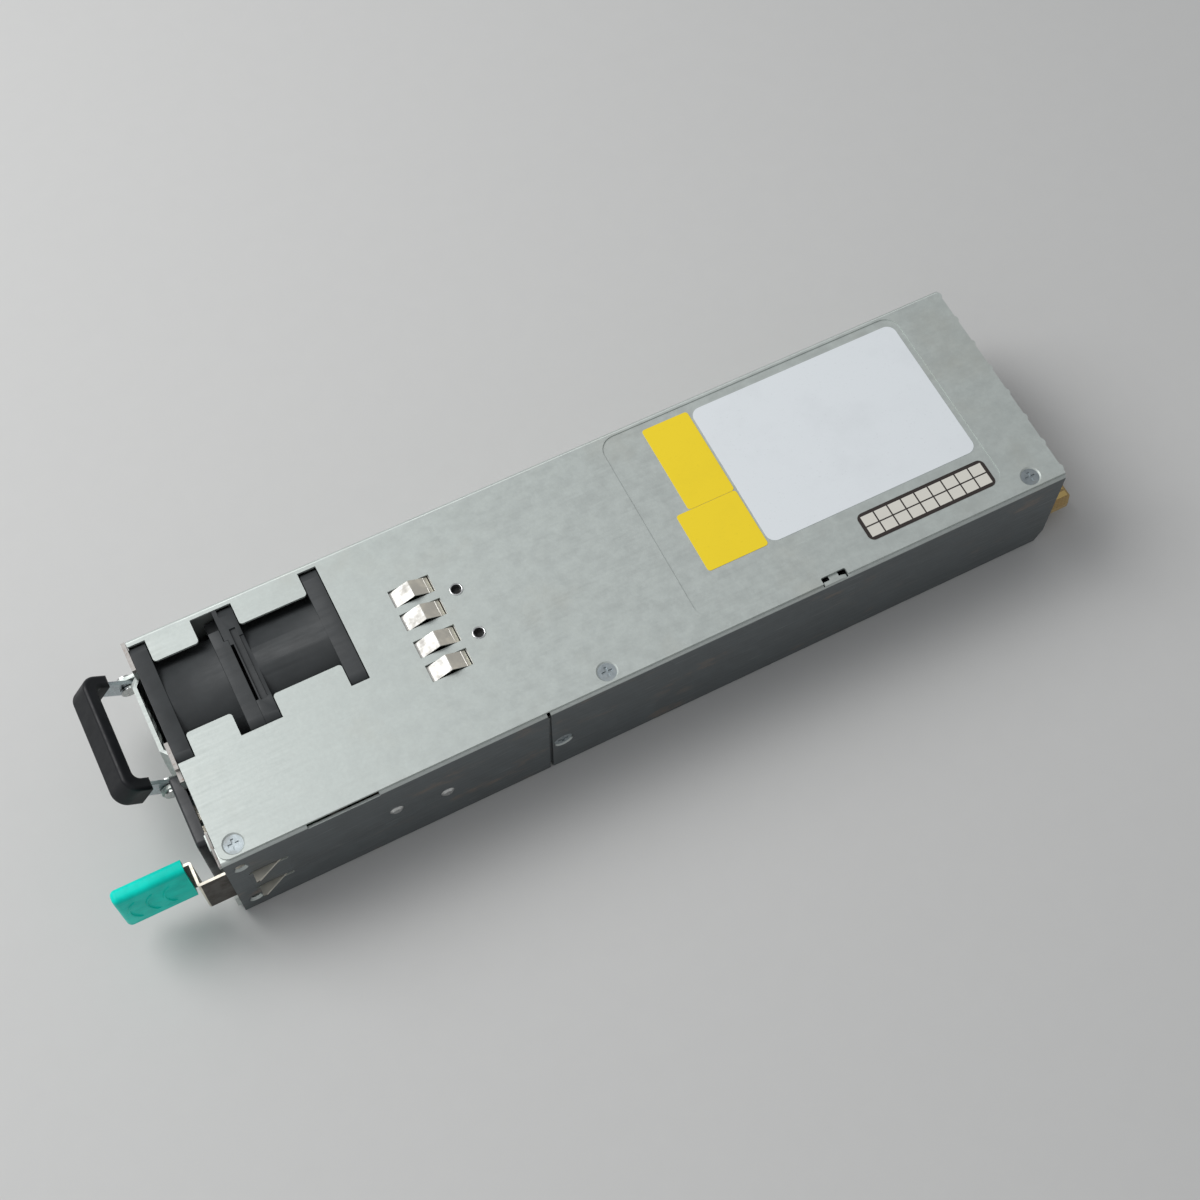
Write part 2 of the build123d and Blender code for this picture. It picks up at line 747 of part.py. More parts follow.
def make_latch_strip():
    """Spring strip: straight along the wall, jogged inwards at the front, with two lanced ears."""
    tip = strip_tip
    tongue_end = tip - tab_tongue_length
    inner = strip_y1 + latch_jog
    outline = rectangle(tip, latch_pivot_x - latch_split_gap, strip_y0, strip_y1)
    outline += rectangle(tip, tip + latch_sheet, strip_y0, inner)
    outline += rectangle(tongue_end, tip + latch_sheet, inner - latch_sheet, inner)
    outer_bends = [v for v in outline.vertices() if abs(v.X - tip) < 0.01 and abs(v.Y - strip_y0) < 0.01]
    outer_bends += [v for v in outline.vertices()
                    if abs(v.X - tip - latch_sheet) < 0.01 and abs(v.Y - inner) < 0.01]
    outline = fillet(outer_bends, latch_bend)
    strip = plate_z(outline, latch_z0, latch_z1)
    ear_front = ear_slot_x0 + latch_ear_clearance
    ear_rear = ear_slot_x1 - latch_ear_clearance
    proud = near_y - latch_ear_proud
    ear = polygon([
        (ear_front, strip_y0 + latch_sheet / 2),
        (ear_front, proud),
        (ear_front + latch_ear_tip, proud),
        (ear_rear, near_in),
        (ear_rear, strip_y0 + latch_sheet / 2),
    ])
    for z in latch_ear_heights:
        strip += plate_z(ear, z - latch_sheet / 2, z + latch_sheet / 2)
    return strip


def make_latch_strip_root():
    strip = block(latch_pivot_x, from_front(latch_root_end),
                  near_in, near_in + latch_sheet, latch_z0, latch_z1)
    for x, z in latch_rivet_spots:
        strip -= rod_y(x, near_in - 1, near_in + 2, z, latch_rivet_radius)
    return strip


def make_latch_rivets():
    rivets = []
    for x, z in latch_rivet_spots:
        inside = near_in + latch_sheet
        rivet = rod_y(x, near_y, inside, z, latch_rivet_radius)
        rivet += rod_y(x, inside, inside + latch_rivet_head_height, z, latch_rivet_head)
        dome = Cone(latch_rivet_head, latch_rivet_crown, latch_rivet_head_height)
        rivet += Pos(x, near_y - latch_rivet_head_height / 2, z) * Rot(90, 0, 0) * dome
        rivets.append(rivet)
    return group(rivets)


def make_release_tab():
    """Moulded finger tab over the strip's tongue, with three curved grip ridges."""
    tip = strip_tip
    tab_rear = tip - tab_gap
    tab_front = tab_rear - tab_length
    middle = strip_y1 + latch_jog - latch_sheet / 2
    y0 = middle - tab_thickness / 2
    y1 = middle + tab_thickness / 2
    tab = block(tab_front, tab_rear, y0, y1, tab_z0, tab_z1)
    tab = fillet(tab.edges().filter_by(lambda e: e.center().X < tab_rear - 0.1), tab_round)
    ridge_z = (tab_z0 + tab_z1) / 2
    for index in range(tab_ridge_count):
        x = tab_rear - tab_first_ridge - index * tab_ridge_pitch
        ring = Circle(tab_ridge_radius) - Circle(tab_ridge_radius - tab_ridge_width)
        ring &= rectangle(-tab_ridge_radius - 1, -tab_ridge_radius * tab_ridge_sweep,
                          -tab_ridge_radius - 1, tab_ridge_radius + 1)
        tab += plate_y(Pos(x, ridge_z) * ring, y0 - tab_ridge_height, y0 + 0.2)
    tongue = block(tip - tab_tongue_length, tab_rear + 1,
                   middle - latch_sheet / 2, middle + latch_sheet / 2, latch_z0, latch_z1)
    return tab - tongue


# Fans. Each is drawn with its outer end at X 0 and its motor end at X length, about the X axis.

def fan_frame(length, outer_flange, inner_flange):
    square = RectangleRounded(fan_side, fan_side, fan_corner)
    bore = Circle(fan_bore / 2)
    hole_offset = fan_side / 2 - fan_hole_inset
    holes = [Pos(a * hole_offset, b * hole_offset) * Circle(fan_screw_hole / 2)
             for a in (-1, 1) for b in (-1, 1)]
    flange = square - bore
    for hole in holes:
        flange -= hole
    frame = plate_x(flange, 0, outer_flange) + plate_x(flange, length - inner_flange, length)
    frame += plate_x(Circle(fan_bore / 2 + fan_wall) - bore, 0, length)
    plate = Circle(hub_radius) - Circle(bearing_radius)
    for index in range(motor_struts):
        angle = 45 + index * 360 / motor_struts
        strut_length = fan_bore / 2 - hub_radius + 1.0
        strut = Rot(0, 0, angle) * Pos(hub_radius - 0.5 + strut_length / 2, 0)
        plate += strut * Rectangle(strut_length, motor_strut_width)
    frame += plate_x(plate, length - motor_plate, length)
    tube = Circle(bearing_tube_radius) - Circle(bearing_radius)
    tube_length = stator_length + 2 * bearing_length
    frame += plate_x(tube, length - motor_plate - tube_length, length - motor_plate)
    return frame


def fan_blade(hub_middle):
    """A twisted blade, lofted outwards through three stations and trimmed to a round tip."""
    stations = []
    tip_radius = fan_bore / 2 - tip_clearance
    inner = hub_radius - hub_wall / 2
    for share in (0.0, 0.5, 1.15):
        radius = inner + share * (tip_radius - inner)
        angle = math.radians(blade_root_angle + min(share, 1.0) * (blade_tip_angle - blade_root_angle))
        along = (math.cos(angle), math.sin(angle), 0)
        plane = Plane(origin=(hub_middle, 0, radius), x_dir=along, z_dir=(0, 0, 1))
        stations.append(plane * Rectangle(blade_chord, blade_thickness))
    blade = loft(stations, ruled=True)
    return blade & rod_x(-1, 60, 0, 0, tip_radius)


def fan_rotor(length, blades):
    start = rotor_inset
    end = length - motor_plate - hub_clearance
    cavity = rod_x(start + hub_nose, end + 1, 0, 0, hub_radius - hub_wall)
    hub = rod_x(start, end, 0, 0, hub_radius) - cavity
    nose = hub.edges().filter_by(GeomType.CIRCLE).sort_by(Axis.X)[0]
    hub = chamfer(nose, hub_nose_bevel)
    hub -= rod_x(start + shaft_recess, start + hub_nose + 1, 0, 0, fan_shaft_radius)
    blade = fan_blade((start + end) / 2)
    for index in range(blades):
        hub += Rot(index * 360 / blades, 0, 0) * blade - cavity
    return hub


def fan_shaft(length):
    return rod_x(rotor_inset + shaft_recess, length - motor_plate / 2, 0, 0, fan_shaft_radius)


def fan_bearings(length):
    tube_start = length - motor_plate - stator_length - 2 * bearing_length
    ring = Circle(bearing_radius) - Circle(fan_shaft_radius + running_clearance)
    front = plate_x(ring, tube_start, tube_start + bearing_length)
    rear = plate_x(ring, length - motor_plate - bearing_length, length - motor_plate)
    return group([front, rear])


def fan_stator(length):
    end = length - motor_plate - bearing_length
    star = Circle(bearing_tube_radius + stator_root)
    shoe = Circle(stator_radius) - Circle(stator_radius - stator_shoe)
    for angle in range(0, 360, 90):
        arm = Pos(stator_radius / 2, 0) * Rectangle(stator_radius - stator_shoe, stator_arm)
        wedge = Pos(stator_radius, 0) * Rectangle(2 * stator_radius - 2 * stator_arm, stator_radius)
        star += Rot(0, 0, angle) * (arm + (shoe & wedge))
    star -= Circle(bearing_tube_radius)
    return plate_x(star, end - stator_length, end)


def fan_circuit(length):
    disc = Circle(hub_radius - hub_wall - hub_clearance) - Circle(bearing_tube_radius)
    disc -= Pos(0, hub_radius - hub_wall) * Rectangle(2 * fan_board_notch, fan_board_notch)
    return plate_x(disc, length - motor_plate - fan_board, length - motor_plate)


def place_front_fan(shape):
    return Pos(panel_back, fan_y, fan_z) * shape


def place_rear_fan(shape):
    return Pos(fan_end, fan_y, fan_z) * mirror(shape, about=Plane.YZ)


def make_front_fan_frame():
    frame = fan_frame(fan_front_length, fan_flange, fan_mid_flange)
    pocket_y = fan_side / 2 - lead_pocket
    lead_pocket_cut = block(fan_front_length - fan_mid_flange, fan_front_length + 1,
                            pocket_y, fan_side / 2 + 1, pocket_y, fan_side / 2 + 1)
    return place_front_fan(frame - lead_pocket_cut)


def make_rear_fan_frame():
    frame = fan_frame(fan_rear_length, fan_flange, fan_mid_flange)
    groove_x = fan_rear_length - fan_mid_flange / 2
    groove = block(groove_x - lead_groove / 2, groove_x + lead_groove / 2,
                   -fan_tab_half, fan_tab_half, fan_side / 2 - fan_wall, fan_side / 2)
    return place_rear_fan(frame - groove)


# Mains inlet

def socket_outline(grow):
    """Six-sided plug outline with its two corners cut on the earth side."""
    half_w = socket_width / 2 + grow
    half_h = socket_height / 2 + grow
    cut = socket_corner
    return polygon([
        (-half_w, -half_h), (half_w - cut, -half_h), (half_w, -half_h + cut),
        (half_w, half_h - cut), (half_w - cut, half_h), (-half_w, half_h),
    ])


inlet_front = panel_front - inlet_flange_depth


def make_inlet_body():
    place = Pos(inlet_y, inlet_z)
    flange = RectangleRounded(inlet_flange_width, inlet_flange_height, 1.5)
    body = plate_x(place * flange, inlet_front, panel_front)
    inner = RectangleRounded(inlet_body_width, inlet_body_height, 1.0)
    body += plate_x(place * inner, panel_front, panel_front + inlet_body_depth)
    clip_z = inlet_body_height / 2
    for side in (-1, 1):
        z0, z1 = sorted((inlet_z + side * (clip_z - inlet_clip), inlet_z + side * (clip_z + inlet_clip)))
        body += block(panel_back, panel_back + inlet_clip_length,
                      inlet_y - inlet_clip_half, inlet_y + inlet_clip_half, z0, z1)
    body -= plate_x(place * socket_outline(0), inlet_front - 1, inlet_front + socket_depth)
    rim = body.edges().filter_by(GeomType.LINE).group_by(Axis.X)[0]
    body = chamfer(rim, 0.5)
    for spot in inlet_pin_spots():
        body -= inlet_pin(*spot)
    return body


def inlet_pin_spots():
    return [(0, -inlet_pin_spread), (0, inlet_pin_spread), (inlet_pin_offset, 0)]


def inlet_pin(dy, dz):
    y = inlet_y + dy
    z = inlet_z + dz
    pin = block(inlet_front + inlet_pin_recess, panel_front + inlet_body_depth + inlet_pin_tail,
                y - inlet_pin_width / 2, y + inlet_pin_width / 2,
                z - inlet_pin_thickness / 2, z + inlet_pin_thickness / 2)
    return chamfer(pin.faces().sort_by(Axis.X)[0].edges(), 0.4)


# Grounding leaves

def make_ground_spring():
    """One springy plate riveted under the cover, with four leaves that rise through its windows."""
    start = from_front(leaf_start)
    end = from_front(leaf_end)
    plate = rectangle(start - leaf_plate_ahead, from_front(leaf_plate_end), leaf_plate_near, leaf_plate_far)
    for y, width in leaf_widths:
        plate -= rectangle(start + leaf_clearance, end - leaf_clearance, y - width / 2, y + width / 2)
    spring = plate_z(plate, roof - leaf_sheet, roof)
    ridge = start + (end - start) * leaf_ridge_share
    low = roof - leaf_sheet
    high = case_height + leaf_rise
    lip_end = end - leaf_lip_gap
    lip_x = lip_end - leaf_lip
    lip_z = low + leaf_clearance
    for y, width in leaf_widths:
        outline = polygon([
            (start, low), (start + leaf_lip, low), (ridge, high - leaf_sheet), (lip_x, lip_z),
            (lip_end, lip_z), (lip_end, lip_z + leaf_sheet), (lip_x, lip_z + leaf_sheet),
            (ridge + leaf_sheet, high), (ridge - leaf_sheet, high), (start + leaf_lip, roof), (start, roof),
        ])
        half = width / 2 - leaf_clearance
        spring += plate_y(outline, y - half, y + half)
    for y in leaf_rivets_y:
        radius = leaf_rivet_bore + leaf_rivet_wall
        spring -= rod_z(from_front(leaf_rivet_from_front), y, roof - 2, roof + 1, radius)
    return spring


def make_ground_spring_rivets():
    rivets = []
    for y in leaf_rivets_y:
        x = from_front(leaf_rivet_from_front)
        outer = leaf_rivet_bore + leaf_rivet_wall
        bottom = roof - leaf_sheet
        rivet = rod_z(x, y, bottom - leaf_rivet_collar, case_height + leaf_rivet_flare, outer)
        rivet += rod_z(x, y, bottom - leaf_rivet_collar, bottom, outer + leaf_rivet_collar)
        rivet -= rod_z(x, y, bottom - 2, case_height + 1, leaf_rivet_bore)
        rivets.append(rivet)
    return group(rivets)


# Rear panel and labels

board_near = near_in + board_side_gap
board_far = far_in - board_side_gap


def make_rear_panel():
    x1 = rear_x - sheet
    x0 = x1 - sheet
    y0 = near_in + panel_clearance
    y1 = far_in - sheet - panel_clearance
    z0 = sheet
    z1 = roof
    face = rectangle(y0, y1, z0, z1)
    face -= rectangle(y0 - 1, near_y + wall_flange + panel_clearance, roof - sheet, roof + 1)
    face -= rectangle(y0 - 1, y1 + 1, board_bottom - panel_clearance, board_top + panel_clearance)
    face += rectangle(y1 - rear_panel_upright, y1, z0, z1)
    vents_z0 = board_top + panel_clearance + vent_border
    vents_z1 = z1 - vent_border
    middle = Pos((y0 + y1) / 2, (vents_z0 + vents_z1) / 2)
    for hole in hex_field(y1 - y0 - 2 * vent_border, vents_z1 - vents_z0, vent_pitch, vent_hole):
        face -= middle * hole
    panel = plate_x(face, x0, x1)
    panel += block(x0 - panel_foot, x0, y0 + panel_foot, y1 - panel_foot, z1 - sheet, z1)
    return panel


def sticker(x_range, y_range, radius):
    """A bare label in the recess, between two distances from the front and two places across."""
    outline = rounded(from_front(x_range[0]), from_front(x_range[1]), *y_range, radius)
    bottom = case_height - recess_depth
    return plate_z(outline, bottom, bottom + label_sheet)


# Boards

def make_insulator():
    start = from_front(seam_from_front) + lap_length + insulator_gap
    outline = rounded(start, rear_x - 3 * insulator_gap, near_in + insulator_gap,
                      far_in - sheet - insulator_gap, 2 * insulator_gap)
    for x, y in rear_posts:
        outline -= Pos(x, y) * Circle(standoff_radius + insulator_hole_gap)
    return plate_z(outline, sheet, sheet + insulator)


def board_outline():
    outline = rectangle(from_front(board_front), board_rear, board_near, board_far)
    outline += rectangle(from_front(board_wing_front), from_front(board_front) + 1,
                         board_wing_near, board_wing_far)
    tip = rear_x + card_edge_reach
    edge = polygon([
        (board_rear - 1, card_edge_near), (tip - card_edge_chamfer, card_edge_near),
        (tip, card_edge_near + card_edge_chamfer),
        (tip, card_edge_near + card_edge_width - card_edge_chamfer),
        (tip - card_edge_chamfer, card_edge_near + card_edge_width),
        (board_rear - 1, card_edge_near + card_edge_width),
    ])
    edge -= rectangle(tip - finger_tip_gap - finger_length, tip + 1,
                      notch_y - card_notch / 2, notch_y + card_notch / 2)
    return outline + edge


def make_main_board():
    board = plate_z(board_outline(), board_bottom, board_top)
    for x, y in front_posts + rear_posts:
        board -= rod_z(x, y, board_bottom - 1, board_top + 1, screw_radius + board_hole_gap)
    return board


def make_card_fingers():
    fingers = []
    tip = rear_x + card_edge_reach
    count = int((card_edge_width - 2 * card_edge_chamfer) / finger_pitch)
    for index in range(count):
        y = card_edge_near + card_edge_chamfer + finger_pitch * (index + 0.5)
        if abs(y - notch_y) < (card_notch + finger_width) / 2 + finger_sheet:
            continue
        for z0, z1 in ((board_top, board_top + finger_sheet), (board_bottom - finger_sheet, board_bottom)):
            fingers.append(block(tip - finger_tip_gap - finger_length, tip - finger_tip_gap,
                                 y - finger_width / 2, y + finger_width / 2, z0, z1))
    return group(fingers)


def make_board_screws():
    screws = []
    for x, y in front_posts + rear_posts:
        head = rod_z(x, y, board_top, board_top + board_screw_head_height, board_screw_head)
        head = chamfer(head.edges().filter_by(GeomType.CIRCLE).sort_by(Axis.Z)[-1], board_screw_bevel)
        screw = head + rod_z(x, y, sheet + 2 * post_floor, board_top, screw_radius)
        length, width, depth = board_screw_slot
        slot_z = board_top + board_screw_head_height - depth / 2
        for size in ((length, width, depth), (width, length, depth)):
            screw -= Pos(x, y, slot_z) * Box(*size)
        screws.append(screw)
    return group(screws)


# Circuit pieces that stand on the main board. Those of the mains end are placed from the front, and
# those of the output end from the rear. The bulk capacitors take the length between them.

clear_height = roof - board_top
wing_y = (board_wing_near + board_wing_far) / 2
fuse_x = from_front(34.5)
fuse_radius = 2.6
fuse_cap_radius = 2.9
fuse_length = 20.0
fuse_cap_length = 4.0
fuse_lift = 1.2
choke_spots = ((from_front(49.0), wing_y), (from_front(80.0), near_in + 17.95))
choke_outer = 10.0
choke_inner = 4.6
choke_height = 12.0
choke_bevel = 1.2
choke_divider = 1.2
choke_divider_proud = 1.5
x_capacitor_spots = ((from_front(64.5), near_in + 19.95), (from_front(95.0), near_in + 17.95))
x_capacitor_size = (6.5, 22.0, 17.0)
x_capacitor_corner = 0.8
relay_spot = (from_front(106.0), near_in + 17.45)
relay_size = (12.5, 16.0, 18.0)
relay_corner = 0.6
bridge_spot = (from_front(73.0), far_in - 18.45)
bridge_size = (4.0, 27.0, 22.0)
bridge_hole = 1.7
bridge_corner = 3.0
pfc_choke_spot = (from_front(90.0), far_in - 18.45)
pfc_choke_outer = clear_height / 2 - 2.6
pfc_choke_inner = 6.5
pfc_choke_width = 13.0
pfc_choke_bevel = 1.8
busbar_length = 15.6
busbar_width = 10.0
busbar_first_in = 15.95
busbar_pitch = 14.0
busbar_sheet = 1.5
output_cap_radius = 4.0
output_cap_height = 20.0
output_cap_pitch = 9.2
output_cap_gap = 1.0
output_cap_first_in = 13.95
output_cap_columns = 5
output_cap_end = board_rear - busbar_length - output_cap_gap
bulk_start = from_front(115.0)
output_row_length = 43.5
output_cap_rows = int((output_cap_end - bulk_start) / output_row_length)
output_cap_start = output_cap_end - output_cap_radius - (output_cap_rows - 1) * output_cap_pitch
package_size = (1.6, 9.0, 12.0)
package_foot_width = 5.0
package_lift = 2.0
package_pitch = 10.5
sink_web = 2.0
sink_fin = 1.2
sink_height = clear_height - 6.2
secondary_sink_gap = 7.4
secondary_sink_x = output_cap_start - output_cap_radius - secondary_sink_gap - package_size[0]
secondary_sink_y = near_in + 15.95
secondary_sink_width = 30.0
secondary_fin_height = 5.0
secondary_fins = 8
winding_gap = 0.3
winding_overhang = 3.5
core_leg = 13.0
core_wall = 5.0
transformer_size = (28.0, 34.0, clear_height - 4.2)
transformer_gap = 1.5
transformer_rear = secondary_sink_x - sink_web - secondary_fin_height - transformer_gap - winding_overhang
transformer_spot = (transformer_rear - transformer_size[0] / 2, near_in + 33.95)
resonant_size = (13.0, 16.0, 24.0)
resonant_corner = 1.0
resonant_window = 3.0
resonant_ahead = 16.5
resonant_spot = (transformer_spot[0] - resonant_ahead, far_in - 10.95)
standby_size = (13.0, 14.0, 15.0)
standby_tape = (7.0, 18.0, 10.5)
standby_spot = (output_cap_start - output_cap_radius - output_cap_gap - standby_size[0] / 2, far_in - 11.95)
bulk_gap = 1.0
bulk_end = resonant_spot[0] - resonant_size[0] / 2 - bulk_gap
bulk_radius = clear_height / 2 - 1.7
bulk_bevel = 1.0
bulk_groove = 0.8
bulk_groove_width = 1.8
bulk_groove_in = 3.2
bulk_ys = (far_in - 17.45, near_in + 22.35)
primary_sink_start = bulk_start + 3.0
primary_sink_y = near_in + board_side_gap + 0.2
primary_fin_height = 2.4
primary_fin_run = 42.0
primary_fins = 8
primary_web_run = 38.0
transistor_size = (15.5, 4.8, 20.5)
transistor_lift = 3.5
transistor_gap = 2.0
transistor_leg = 0.9
transistor_leg_pitch = 5.0
control_board_length = 24.0
control_board_height = 24.0
control_board_sheet = 1.6
lead_radius = 1.3
lead_bend = 3.0
lead_landings = (5.2, 8.4, 5.2)


def standing(spot, size):
    """A box of this size that stands on the main board."""
    x, y = spot
    length, width, height = size
    return block(x - length / 2, x + length / 2, y - width / 2, y + width / 2, board_top, board_top + height)


def make_fuse():
    z = board_top + fuse_radius + fuse_lift
    half = fuse_length / 2
    fuse = rod_y(fuse_x, wing_y - half, wing_y + half, z, fuse_radius)
    for side in (-1, 1):
        y0, y1 = sorted((wing_y + side * (half - fuse_cap_length), wing_y + side * half))
        fuse += rod_y(fuse_x, y0, y1, z, fuse_cap_radius)
        fuse += block(fuse_x - 1, fuse_x + 1, y0 + 1, y1 - 1, board_top, z)
    return fuse


def make_emi_chokes():
    chokes = []
    for x, y in choke_spots:
        ring = Circle(choke_outer) - Circle(choke_inner)
        core = plate_z(Pos(x, y) * ring, board_top, board_top + choke_height)
        core = chamfer(core.edges().filter_by(GeomType.CIRCLE).group_by(Axis.Z)[-1], choke_bevel)
        divider_length = choke_outer + choke_inner
        divider = standing((x, y), (divider_length, choke_divider, choke_height + choke_divider_proud))
        chokes.append(core + divider)
    return group(chokes)


def make_x_capacitors():
    caps = []
    for spot in x_capacitor_spots:
        body = standing(spot, x_capacitor_size)
        caps.append(fillet(body.edges().filter_by(Axis.Z), x_capacitor_corner))
    return group(caps)


def make_relay():
    return fillet(standing(relay_spot, relay_size).edges().filter_by(Axis.Z), relay_corner)


def make_bridge():
    body = standing(bridge_spot, bridge_size)
    marked_corner = body.edges().filter_by(Axis.X).group_by(Axis.Z)[-1].sort_by(Axis.Y)[0]
    body = chamfer(marked_corner, bridge_corner)
    x, y = bridge_spot
    depth = bridge_size[0]
    return body - rod_x(x - depth, x + depth, y, board_top + bridge_size[2] / 2, bridge_hole)


def make_pfc_choke():
    x, y = pfc_choke_spot
    ring = Circle(pfc_choke_outer) - Circle(pfc_choke_inner)
    half = pfc_choke_width / 2
    choke = plate_x(Pos(y, board_top + pfc_choke_outer) * ring, x - half, x + half)
    return chamfer(choke.edges().filter_by(GeomType.CIRCLE), pfc_choke_bevel)


def make_bulk_capacitors():
    caps = []
    z = board_top + bulk_radius
    for y in bulk_ys:
        can = rod_x(bulk_start, bulk_end, y, z, bulk_radius)
        can = chamfer(can.edges().filter_by(GeomType.CIRCLE), bulk_bevel)
        groove_x = bulk_start + bulk_groove_in
        ring = Circle(bulk_radius + 1) - Circle(bulk_radius - bulk_groove)
        caps.append(can - plate_x(Pos(y, z) * ring, groove_x, groove_x + bulk_groove_width))
    return group(caps)


def fin_profile(fin_run, fins, fin_height):
    """Finned heat sink outline in X and Y, with its web along X at Y 0."""
    outline = rectangle(0, fin_run, 0, sink_web)
    pitch = (fin_run - sink_fin) / (fins - 1)
    for index in range(fins):
        outline += rectangle(index * pitch, index * pitch + sink_fin, 0, sink_web + fin_height)
    return outline


def make_primary_heatsink():
    outline = fin_profile(primary_fin_run, primary_fins, primary_fin_height)
    outline += rectangle(0, primary_fin_run + primary_web_run, 0, sink_web)
    return plate_z(Pos(primary_sink_start, primary_sink_y) * outline, board_top, board_top + sink_height)


def make_primary_transistors():
    """Two power transistors clipped flat to the plain end of the heat sink's web."""
    length, depth, height = transistor_size
    y = primary_sink_y + sink_web
    transistors = []
    for index in range(2):
        x = primary_sink_start + primary_fin_run + transistor_gap + index * (length + transistor_gap)
        z = board_top + transistor_lift
        body = block(x, x + length, y, y + depth, z, z + height)
        for leg in (-1, 0, 1):
            leg_x = x + length / 2 + leg * transistor_leg_pitch
            body += block(leg_x - transistor_leg / 2, leg_x + transistor_leg / 2,
                          y + depth / 2, y + depth / 2 + transistor_leg, board_top, z)
        transistors.append(body)
    return group(transistors)


def make_resonant_choke():
    x, y = resonant_spot
    width, height = resonant_size[1:]
    body = fillet(standing(resonant_spot, resonant_size).edges().filter_by(Axis.Z), resonant_corner)
    return body - rod_y(x, y - width, y + width, board_top + height / 2, resonant_window)


def make_transformer_core():
    """Two E halves: outer walls, a centre leg and two windows for the winding."""
    x, y = transformer_spot
    length, width, height = transformer_size
    core = standing(transformer_spot, transformer_size)
    for side in (-1, 1):
        y0, y1 = sorted((y + side * core_leg / 2, y + side * (width / 2 - core_wall)))
        core -= block(x - length, x + length, y0, y1, board_top + core_wall, board_top + height - core_wall)
    return core


def make_transformer_winding():
    x, y = transformer_spot
    length, width, height = transformer_size
    half_x = length / 2 + winding_gap
    half_y = core_leg / 2 + winding_gap
    outer_x = length / 2 + winding_overhang
    outer_y = width / 2 - core_wall - winding_gap
    z0 = board_top + core_wall + winding_gap
    z1 = board_top + height - core_wall - winding_gap
    outline = rounded(x - outer_x, x + outer_x, y - outer_y, y + outer_y, winding_overhang)
    outline -= rectangle(x - half_x, x + half_x, y - half_y, y + half_y)
    winding = plate_z(outline, z0, z1)
    for side in (-1, 1):
        foot_x = x + side * (half_x + outer_x) / 2
        foot_half = winding_overhang / 3
        winding += block(foot_x - foot_half, foot_x + foot_half, y - half_y, y + half_y, board_top, z0)
    return winding


def make_standby_transformer():
    return standing(standby_spot, standby_size) + standing(standby_spot, standby_tape)


def make_secondary_heatsink():
    outline = fin_profile(secondary_sink_width, secondary_fins, secondary_fin_height)
    place = Pos(secondary_sink_x, secondary_sink_y) * Rot(0, 0, 90)
    return plate_z(place * outline, board_top, board_top + sink_height)


def make_secondary_transistors():
    """Three flat packages clipped to the output side of the second heat sink."""
    depth, width, height = package_size
    middle = secondary_sink_y + secondary_sink_width / 2
    packages = []
    for index in (-1, 0, 1):
        y = middle + index * package_pitch
        z = board_top + package_lift
        foot_half = package_foot_width / 2
        package = block(secondary_sink_x, secondary_sink_x + depth,
                        y - width / 2, y + width / 2, z, z + height)
        package += block(secondary_sink_x, secondary_sink_x + depth / 2, y - foot_half, y + foot_half,
                         board_top, z)
        packages.append(package)
    return group(packages)


def make_output_capacitors():
    caps = []
    for row in range(output_cap_rows):
        for column in range(output_cap_columns):
            x = output_cap_start + row * output_cap_pitch
            y = near_in + output_cap_first_in + column * output_cap_pitch
            caps.append(rod_z(x, y, board_top, board_top + output_cap_height, output_cap_radius))
    return group(caps)


def make_output_busbars():
    start = board_rear - busbar_length
    bars = []
    for index in range(2):
        y = near_in + busbar_first_in + index * busbar_pitch
        bars.append(block(start, board_rear, y - busbar_width / 2, y + busbar_width / 2,
                          board_top, board_top + busbar_sheet))
    return group(bars)


def make_control_board():
    y = board_far - control_board_sheet
    x = output_cap_start - output_cap_radius
    return block(x, x + control_board_length, y, y + control_board_sheet,
                 board_top, board_top + control_board_height)


def inlet_lead(spot, run):
    """A round lead from the tail of one inlet blade back, then down to the main board."""
    dy, dz = spot
    start_x = panel_front + inlet_body_depth + inlet_pin_tail
    landing = start_x + run
    y = inlet_y + dy
    z = inlet_z + dz
    path = FilletPolyline((start_x, y, z), (landing, y, z), (landing, y, board_top), radius=lead_bend)
    section = Plane(origin=path @ 0, z_dir=path % 0) * Circle(lead_radius)
    return sweep(section, path=path)


def make_inlet_leads():
    leads = [inlet_lead(spot, run) for spot, run in zip(inlet_pin_spots(), lead_landings)]
    return group(leads[:2]), leads[2]


# Build and write every node

mains_leads, earth_lead = make_inlet_leads()

